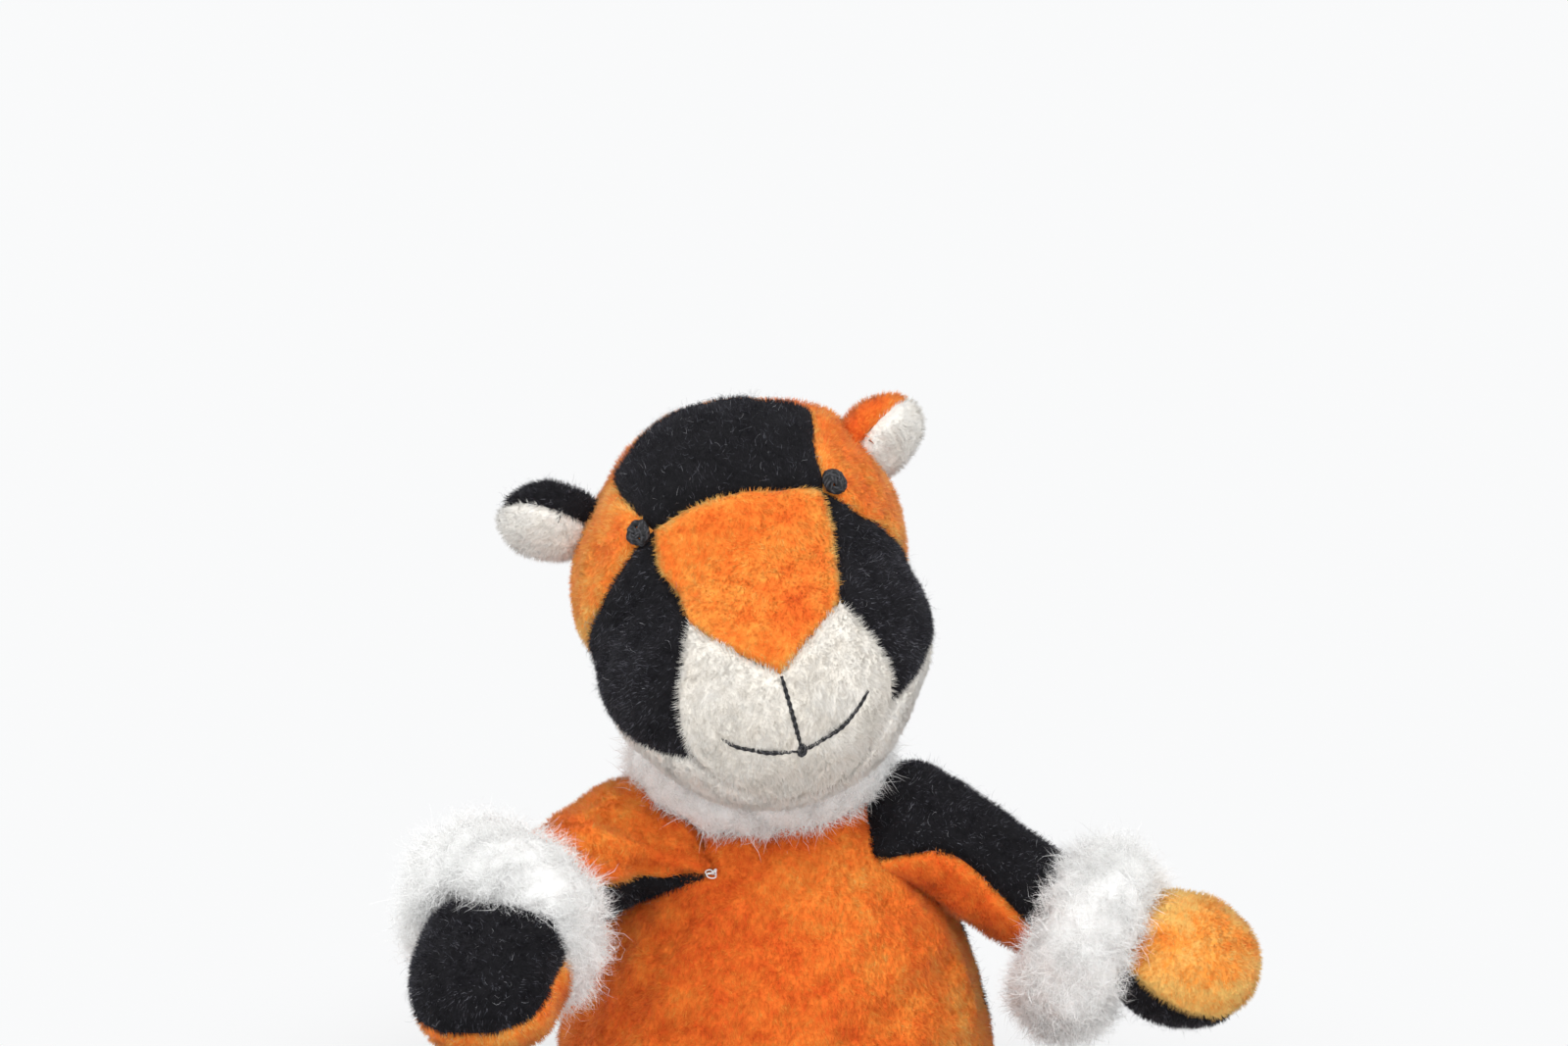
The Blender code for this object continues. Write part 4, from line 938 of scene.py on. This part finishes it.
FLUFF = [
    (0.0, (0.60, 0.59, 0.585)), (0.35, (0.80, 0.795, 0.785)), (0.6, (0.90, 0.90, 0.89)),
    (1.0, (0.96, 0.96, 0.955))]
FLUFF_GRAIN = ((200.0, 0.25), (900.0, 0.2))
fluff_base = finish_of("fluff_base", FLUFF, FLUFF_GRAIN, 0.0008, 0.95)
fluff_strand = finish_of("fluff_strand", FLUFF, FLUFF_GRAIN, 0.0, 0.95)


FLUFF_WIDTH = 0.08 * MM
LOCK_SIZE = 1.7 * MM
LOCK_SPAN = 2.3


def fluff_ring(name, slot, body, centre, frame, ring, swell, half_width, count, length, curl, lump, floor=0.3,
               shade=0.0):
    """A fleece band: a lumpy ring with curled fibres gathered in locks.

    The ring is centre + (ring + swell cos b)(cos a sideways + sin a upwards) + half width
    sin b forward. Each fibre starts near a lock's root and leans to the lock's own way.
    Locks grow LOCK_SPAN to either side of the outermost line. shade darkens the whole fleece: painted shade, given to
    the ruff under the head.
    """
    source = np.random.default_rng(list(name.encode()))
    count = int(count * FIBRE_COUNT_SHARE)
    sideways, upwards, forward = frame

    def band(a, b):
        out = np.cos(a)[..., None] * sideways + np.sin(a)[..., None] * upwards
        away, along = (ring + swell * np.cos(b))[..., None], (half_width * np.sin(b))[..., None]
        points = centre + away * out + along * forward
        normal = unit((np.cos(b) / swell)[..., None] * out + (np.sin(b) / half_width)[..., None] * forward)
        lumps = lump * MM * (0.7 * ripple(points, 8 * MM, 71) + 0.4 * ripple(points, 3.5 * MM, 72))
        return points + normal * lumps[..., None], normal

    columns, rows = 96, 40
    a, b = np.meshgrid(np.linspace(0, 2 * pi, columns + 1)[:-1], np.linspace(0, 2 * pi, rows + 1)[:-1])
    points, normals = band(a, b)
    points[..., 2] = np.maximum(points[..., 2], 2 * floor * MM)
    index = np.arange(columns * rows).reshape(rows, columns)
    right, down = np.roll(index, -1, 1), np.roll(index, -1, 0)
    shell = np.stack([index, right, np.roll(right, -1, 0), down], -1).reshape(-1, 4)
    flat = points.reshape(-1, 3)
    face_way = np.cross(flat[shell[:, 1]] - flat[shell[:, 0]], flat[shell[:, 3]] - flat[shell[:, 0]])
    if (face_way * normals.reshape(-1, 3)[shell[:, 0]]).sum() < 0:
        shell = shell[:, ::-1]

    locks = max(int(2 * pi * ring * 2 * (swell + half_width) / LOCK_SIZE ** 2), 50)
    lock_a, lock_b = source.uniform(0, 2 * pi, locks), source.uniform(-LOCK_SPAN, LOCK_SPAN, locks)
    lock_root, lock_normal = band(lock_a, lock_b)
    lock_way = unit(lock_normal + 0.55 * source.normal(size=(locks, 3)))
    lock_tip = lock_root + lock_way * (length * source.uniform(0.65, 1.2, locks))[:, None]
    chosen = source.integers(0, locks, count)
    loose = source.normal(size=(count, 3)) * 1.5 * MM
    normal = lock_normal[chosen]
    loose -= normal * (loose * normal).sum(-1, keepdims=True)
    root = lock_root[chosen] + loose - normal * 0.4 * MM
    run = lock_tip[chosen] + source.normal(size=(count, 3)) * 1.15 * MM - root
    way = unit(run + 0.35 * np.linalg.norm(run, axis=-1, keepdims=True) * source.normal(size=(count, 3)))
    reach = np.linalg.norm(run, axis=-1) * source.uniform(0.6, 1.1, count)
    corners = ribbons(root, way, reach, curl * source.uniform(0.3, 1.3, count), FLUFF_WIDTH, source)
    corners[..., 2] = np.maximum(corners[..., 2], floor * MM)
    height = np.array([0, 0, 0.33, 0.33, 0.66, 0.66, 1.0])
    # Each fibre is painted lighter from root to tip: painted shade deep in the fleece.
    tone = 0.66 - shade + 0.25 * height[None] + 0.04 * source.normal(size=(count, 1))
    base_tone = 0.45 - shade + 0.1 * ripple(flat, 3 * MM, 73)

    top = 0.1
    wrapped = np.stack([a.ravel() / (2 * pi), b.ravel() / (2 * pi) * top], -1)[shell]
    for axis, full in ((0, 1.0), (1, top)):
        spread = wrapped[..., axis].max(1) - wrapped[..., axis].min(1) > full / 2
        wrapped[spread, :, axis] = np.where(wrapped[spread, :, axis] < full / 2, full, wrapped[spread, :, axis])
    fibre_faces, fibre_map = ribbon_mesh(count, len(flat), top + 0.02, 1.0)
    piece = add_piece(
        name + "_fleece", np.vstack([flat, corners.reshape(-1, 3)]), shell.tolist() + fibre_faces,
        np.concatenate([base_tone, tone.ravel()]), [fluff_base, fluff_strand],
        np.concatenate([np.zeros(len(shell)), np.ones(3 * count)]),
        np.vstack([wrapped.reshape(-1, 2), fibre_map]))
    stand_in(piece, name, body)


# The ruff is given shade: painted shade under the head.
fluff_ring(
    "neck_ruff", "white_pile", "neck", np.array([-2.8, -2.6, 76.0]) * MM,
    (turn_about(1, -4) @ turn_about(0, 3)).T, 15.0 * MM, 7.6 * MM, 8.6 * MM, 40000, 1.7 * MM, 0.6 * MM, 0.6, shade=0.05)
filling("neck_fill", "neck_stuffing", cad_form("neck_stuffing", 0.2 * MM), 32, 16, "neck")

# Arms and legs.
# Each limb is a tube of two cloths with a round root sewn into the body, a wide cuff of
# cotton-like fleece, and a stuffed paw or foot whose two cloths swap the tube's colours.

# Millimetres and degrees. A cuff is its ring, swell and half width.
PLAIN_LIMB = dict(
    cuff_shift=(0, 0, 0), cuff_fibres=38000, twist=((0, 0),), back=0.0, spread=(), upper_creases=(),
    squareness=2.5, end_pitch=0, end_lift=0.1)
ARM = dict(PLAIN_LIMB, radii=(9.9, 9.2, 8.0))
LEG = dict(
    PLAIN_LIMB, radii=(12.5, 11.2, 9.2), end_sizes=(12.5, 12.0, 15.5), cuff=(11.4, 5.0, 7.2), cuff_fibres=24000)
LIMBS = {
    "left_arm": dict(
        ARM, end="left_paw", root=LEFT_SHOULDER, wrist=(-44.5, -33.7, 56.5), tip=(-46.7, -44.9, 49.9), roll=-30,
        end_roll=8, end_sizes=(12.4, 10.4, 14.5), upper="orange_pile", under="black_pile",
        cuff=(11.8, 5.6, 7.4), cuff_shift=(-1.2, 0.6, -1.0), twist=((0, 0), (1, 62)),
        spread=(((-18.0, -13.2, 58.9), (7.2, -8.0, 1.5), 5.5), ((-17.6, -14.8, 65.0), (2.8, -2.8, 0.3), 5.0)),
        upper_creases=(
            ((-33, -27.5, 66.5), (-22, -21.5, 61), 0.8, 1.6), ((-28.5, -21, 69), (-18, -18.5, 64.5), 0.6, 1.8),
            ((-14, -19.5, 62), (-19, -20.5, 64), 0.4, 0.9), ((-14, -20.5, 60.5), (-21, -22, 61), 0.4, 0.9))),
    # The right paw's orange is painted much lighter and yellower (end_lift 0.42): a painted highlight of light glowing
    # through its pile.
    "right_arm": dict(
        ARM, end="right_paw", root=RIGHT_SHOULDER, wrist=(54.0, -12.0, 46.7), tip=(70.0, -15.8, 43.5), roll=26,
        end_roll=26, end_sizes=(12.4, 10.4, 13.4), upper="black_pile", under="orange_pile",
        cuff=(11.6, 5.6, 7.4), cuff_shift=(0, 0, -0.8), back=3.5,
        twist=((-0.12, 5), (0, -20), (0.1, -36), (0.2, -40), (0.32, -36), (1, 8)),
        spread=(((22.1, -13.7, 61.8), (-3.4, -2.6, -1.0), 6.0),), squareness=2.0, end_pitch=28, end_lift=0.42)}
for side, sign, root, upper, under in (
        ("left", -1, LEFT_HIP, "orange_pile", "black_pile"),
        ("right", 1, RIGHT_HIP, "black_pile", "orange_pile")):
    LIMBS[side + "_leg"] = dict(
        LEG, end=side + "_foot", root=root, wrist=(sign * 42.5, -47.7, 14.0), tip=(sign * 48.0, -60.0, 20.0),
        roll=-10 * sign, end_roll=-10 * sign, upper=upper, under=under)


def limb_frame(start, end, roll=0.0):
    """A limb's sideways, upwards and forward directions, turned about the forward one."""
    forward = unit(np.asarray(end, float) - np.asarray(start, float))
    upwards = unit(np.array([0, 0, 1.0]) - forward * forward[2])
    sideways = np.cross(upwards, forward)
    c, s = cos(radians(roll)), sin(radians(roll))
    return np.array([
        sideways * c + np.cross(forward, sideways) * s, upwards * c + np.cross(forward, upwards) * s, forward])


def tube_half(start, frame, length, root, middle, end, first, twist, spread, back):
    """Half a sleeve: the radius is a parabola along it, and closes back mm behind the root as a ball.

    twist turns the seams, by (share of the way along, degrees) pairs. Each spread
    (place, move, size) draws the cloth out by a bell of the distance from its place.
    """

    def place(u, v):
        behind = root * 0.6 + back * 1.6 * MM
        along = v * (length + behind) - behind
        share = np.clip(along / length, 0, 1)
        radius = root * (1 - share) * (1 - 2 * share) + end * share * (2 * share - 1)
        radius = radius + 4 * middle * share * (1 - share)
        past = np.minimum(along + back * MM, 0)
        radius = np.where(along < 0, np.sqrt(np.maximum(root ** 2 - past ** 2, 0)), radius)
        angle = first + u * pi + np.radians(np.interp(along / length, *np.array(twist, float).T))
        points = start + along[..., None] * frame[2] + radius[..., None] * (
            np.cos(angle)[..., None] * frame[0] + np.sin(angle)[..., None] * frame[1])
        for spot, move, size in spread:
            away = np.linalg.norm(points - np.array(spot) * MM, axis=-1) / (size * MM)
            points = points + np.exp(-away ** 2)[..., None] * np.array(move) * MM
        return points

    return place


def egg_half(centre, frame, sizes, facing, squareness, pitch):
    """Half an egg: dome directions times its sizes across, thick and along, slightly squared.

    pitch tilts its seam, in degrees, so that the top cloth comes down over the tip.
    """

    def place(u, v):
        spread = dome(u, v, facing)[..., [0, 2, 1]] @ turn_about(0, pitch).T
        squared = (np.abs(spread) ** squareness).sum(-1, keepdims=True) ** (1 / squareness)
        return centre + (spread / squared * sizes) @ frame

    return place


for limb, make in LIMBS.items():
    root, wrist, tip = make["root"], np.array(make["wrist"]) * MM, np.array(make["tip"]) * MM
    radii, end_sizes, cuff_sizes = (np.array(make[key]) * MM for key in ("radii", "end_sizes", "cuff"))
    frame_rows, end_rows = limb_frame(root, wrist, make["roll"]), limb_frame(wrist, tip, make["end_roll"])
    length = np.linalg.norm(wrist - root) + 4 * MM
    middle = root + frame_rows[2] * length / 2
    bend_start, bend_end = (tuple(root + frame_rows[2] * along * MM) for along in (-2, 15))
    for half, first, slot, end_half, end_slot, facing, creases in (
            ("upper", 0.0, make["upper"], "top", make["under"], 1.0, make["upper_creases"]),
            ("under", pi, make["under"], "underside", make["upper"], -1.0, ())):
        sleeve = velboa_panel(
            f"{limb}_{half}_sleeve", slot,
            tube_half(root, frame_rows, length, *radii, first, make["twist"], make["spread"], make["back"]),
            50, 70, middle, frame_rows[2] * 0.5, creases=creases)
        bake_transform(sleeve)
        velboa_panel(
            f"{make['end']}_{end_half}", end_slot,
            egg_half(tip, end_rows, end_sizes, facing, make["squareness"], make["end_pitch"]),
            56, 56, tip, end_rows[2] * 0.2 - end_rows[1] * 0.7, limb,
            lift=make["end_lift"] if end_slot == "orange_pile" else 0.0)
    girth = radii[1] - 2.6 * MM
    for name, centre, sizes, rows in (
            (limb, middle, np.array([girth, girth, length / 2 - 2 * MM]), frame_rows),
            (make["end"], tip, end_sizes - 2.4 * MM, end_rows)):
        filling(
            name + "_fill", name + "_stuffing", lambda u, v: centre + (ball(u, v) * sizes) @ rows, 32, 20, limb)
    fluff_ring(
        f"{limb}_cuff", "white_fluff", limb, wrist + np.array(make["cuff_shift"]) * MM,
        limb_frame((root + wrist) / 2, tip), *cuff_sizes, make["cuff_fibres"], 1.8 * MM, 1.5 * MM, 0.8, floor=0.6)

# Chest knot.
# The white thread that closes the front seam at the left armpit, knotted and cut short.

KNOT_LOOPS, KNOT_SIDES, KNOT_STEPS = 5, 6, 24
knot_middle = np.mean(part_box("chest_knot"), axis=0) + np.array([2.2, -0.6, 1.6]) * MM
knot_source = np.random.default_rng(7)
knot_parts = []
for turn in range(KNOT_LOOPS):
    lean = unit(knot_source.normal(size=(2, 3)))
    angle = np.linspace(0, 2 * pi, KNOT_STEPS)[:, None]
    knot_at = knot_middle + knot_source.normal(size=3) * 0.35 * MM
    loop = knot_at + (np.cos(angle) * lean[0] + np.sin(angle) * lean[1]) * knot_source.uniform(0.35, 0.7) * MM
    knot_parts.append(rope(
        loop, np.full(KNOT_STEPS, 0.13 * MM), KNOT_SIDES, 0.0, (0.3, 0.2, 1), KNOT_STEPS * KNOT_SIDES * turn))
knot_points, knot_faces, knot_tones = zip(*knot_parts)
chest_knot = add_piece(
    "chest_knot_thread", np.vstack(knot_points), sum(knot_faces, []), np.concatenate(knot_tones) + 0.2,
    [fluff_base])
stand_in(chest_knot, "chest_knot", body="torso")

# Tail.
# A slim stuffed tube, orange above and black below, sewn to the back of the seat and
# curled round to the right on the ground.

TAIL_ROOT, TAIL_BEND, TAIL_END = (np.array(place) * MM for place in ((0, 31.5, 9.5), (2, 56, 6), (27, 63, 5.4)))
TAIL_RADIUS = 4.5 * MM
TAIL_LENGTH = sum(
    np.linalg.norm(end - start)
    for start, end in ((TAIL_ROOT, TAIL_BEND), (TAIL_BEND, TAIL_END), (TAIL_ROOT, TAIL_END))) / 2


def tail_at(along, radius, angle):
    """A point round a Bezier curve: its place at a length, out by a radius at an angle."""
    t = np.clip(along / TAIL_LENGTH, 0, 1)[..., None]
    forward = unit(2 * (1 - t) * (TAIL_BEND - TAIL_ROOT) + 2 * t * (TAIL_END - TAIL_BEND))
    middle = (1 - t) ** 2 * TAIL_ROOT + 2 * t * (1 - t) * TAIL_BEND + t ** 2 * TAIL_END
    middle = middle + (along[..., None] - t * TAIL_LENGTH) * forward
    sideways = unit(np.cross((0.0, 0.0, 1.0), forward))
    upwards = np.cross(forward, sideways)
    out = np.cos(angle)[..., None] * sideways + np.sin(angle)[..., None] * upwards
    return middle + radius[..., None] * out


def tail_profile(v, radius):
    """Along and radius of the tail: a tube whose far end is a half ball."""
    along = v * (TAIL_LENGTH + radius + 2 * MM) - 2 * MM
    over = np.clip((along - TAIL_LENGTH) / radius, 0, 1)
    return along, radius * np.sqrt(1 - np.minimum(over, 0.998) ** 2)


for name, slot, first in (("tail_upper", "orange_pile", 0.0), ("tail_underside", "black_pile", pi)):
    velboa_panel(
        name, slot, lambda u, v: tail_at(*tail_profile(1 - (1 - v) ** 1.3, TAIL_RADIUS), first + u * pi),
        30, 110, np.array([6, 54, 6]) * MM, (0.4, 0.4, 0), "tail", 9.0, 1.1)
filling(
    "tail_fill", "tail_stuffing", lambda u, v: tail_at(*tail_profile(v, TAIL_RADIUS - 2 * MM), 2 * pi * u),
    24, 60, "tail")

# Studio.
# A white floor that runs off into a white background, one large soft lamp high in front and
# a weaker one beside it, and a long lens a little above the toy.

GLOW_START, GLOW_END = 0.06, 0.16
BACKDROP = (0.95, 0.955, 0.96)


ground = bpy.data.materials.new("pale_ground")
ground.use_nodes = True
links = ground.node_tree.links
flow = Flow(ground.node_tree)
shader, output = (ground.node_tree.nodes[name] for name in ("Principled BSDF", "Material Output"))
shader.inputs["Base Color"].default_value = (0.85, 0.85, 0.85, 1.0)
shader.inputs["Roughness"].default_value = 0.9
# Near the toy the floor shows half its own light and shade, further off the backdrop's white
place = flow.node("ShaderNodeTexCoord", output=3)
away = flow.node("ShaderNodeVectorMath", {"operation": "LENGTH"}, {0: place}, output=1)
far = flow.node("ShaderNodeMapRange", {"interpolation_type": "SMOOTHSTEP"}, {
    "Value": away, "From Min": GLOW_START, "From Max": GLOW_END, "To Min": 0.5, "To Max": 1.0})
seen = flow.node("ShaderNodeLightPath", output=0)
white = flow.node("ShaderNodeEmission", {}, {"Color": (*BACKDROP, 1.0), "Strength": 1.0})
mixed = ground.node_tree.nodes.new("ShaderNodeMixShader")
links.new((far * seen).socket, mixed.inputs[0])
links.new(shader.outputs[0], mixed.inputs[1])
links.new(white.socket, mixed.inputs[2])
links.new(mixed.outputs[0], output.inputs["Surface"])

floor_mesh = bpy.data.meshes.new("floor")
floor_mesh.from_pydata([(-4, -4, 0), (4, -4, 0), (4, 4, 0), (-4, 4, 0)], [], [(0, 1, 2, 3)])
floor_mesh.materials.append(ground)
floor = bpy.data.objects.new("floor", floor_mesh)
bpy.context.scene.collection.objects.link(floor)

world = bpy.data.worlds.new("studio")
bpy.context.scene.world = world
world.use_nodes = True
sky = Flow(world.node_tree)
seen, mirrored_ray = sky.node("ShaderNodeLightPath", output=0), sky.node("ShaderNodeLightPath", output=3)
WORLD_LIGHT = 0.74
mask = sky.math("MAXIMUM", seen, mirrored_ray)
background = world.node_tree.nodes["Background"]
background.inputs["Color"].default_value = (*BACKDROP, 1.0)
world.node_tree.links.new((mask * (1.0 - WORLD_LIGHT) + WORLD_LIGHT).socket, background.inputs["Strength"])


def soft_lamp(name, place, target, size, power):
    """A square area lamp aimed at a point."""
    lamp = bpy.data.lights.new(name, "AREA")
    lamp.size, lamp.energy = size, power
    thing = bpy.data.objects.new(name, lamp)
    backwards = unit(np.array(place) - np.array(target))
    sideways = unit(np.cross((0.0, 0.0, 1.0), backwards))
    turn = np.stack([sideways, np.cross(backwards, sideways), backwards], 1)
    thing.matrix_world = Matrix([[*row, shift] for row, shift in zip(turn.tolist(), place)] + [[0, 0, 0, 1]])
    bpy.context.scene.collection.objects.link(thing)


soft_lamp("front_lamp", (0.15, -0.50, 0.62), (0, 0, 0.07), 0.5, 3.5)
soft_lamp("side_lamp", (-0.55, -0.25, 0.35), (0, 0, 0.07), 0.5, 1.1)

camera = bpy.data.objects.new("camera", bpy.data.cameras.new("camera"))
camera.data.lens, camera.data.sensor_width = 85.0, 36.0
camera.location, camera.rotation_euler = (0.0015, -0.63225, 0.22848), (radians(80.0), 0.0, 0.0)
bpy.context.scene.collection.objects.link(camera)
bpy.context.scene.camera = camera
bpy.context.scene.view_settings.view_transform = "Standard"
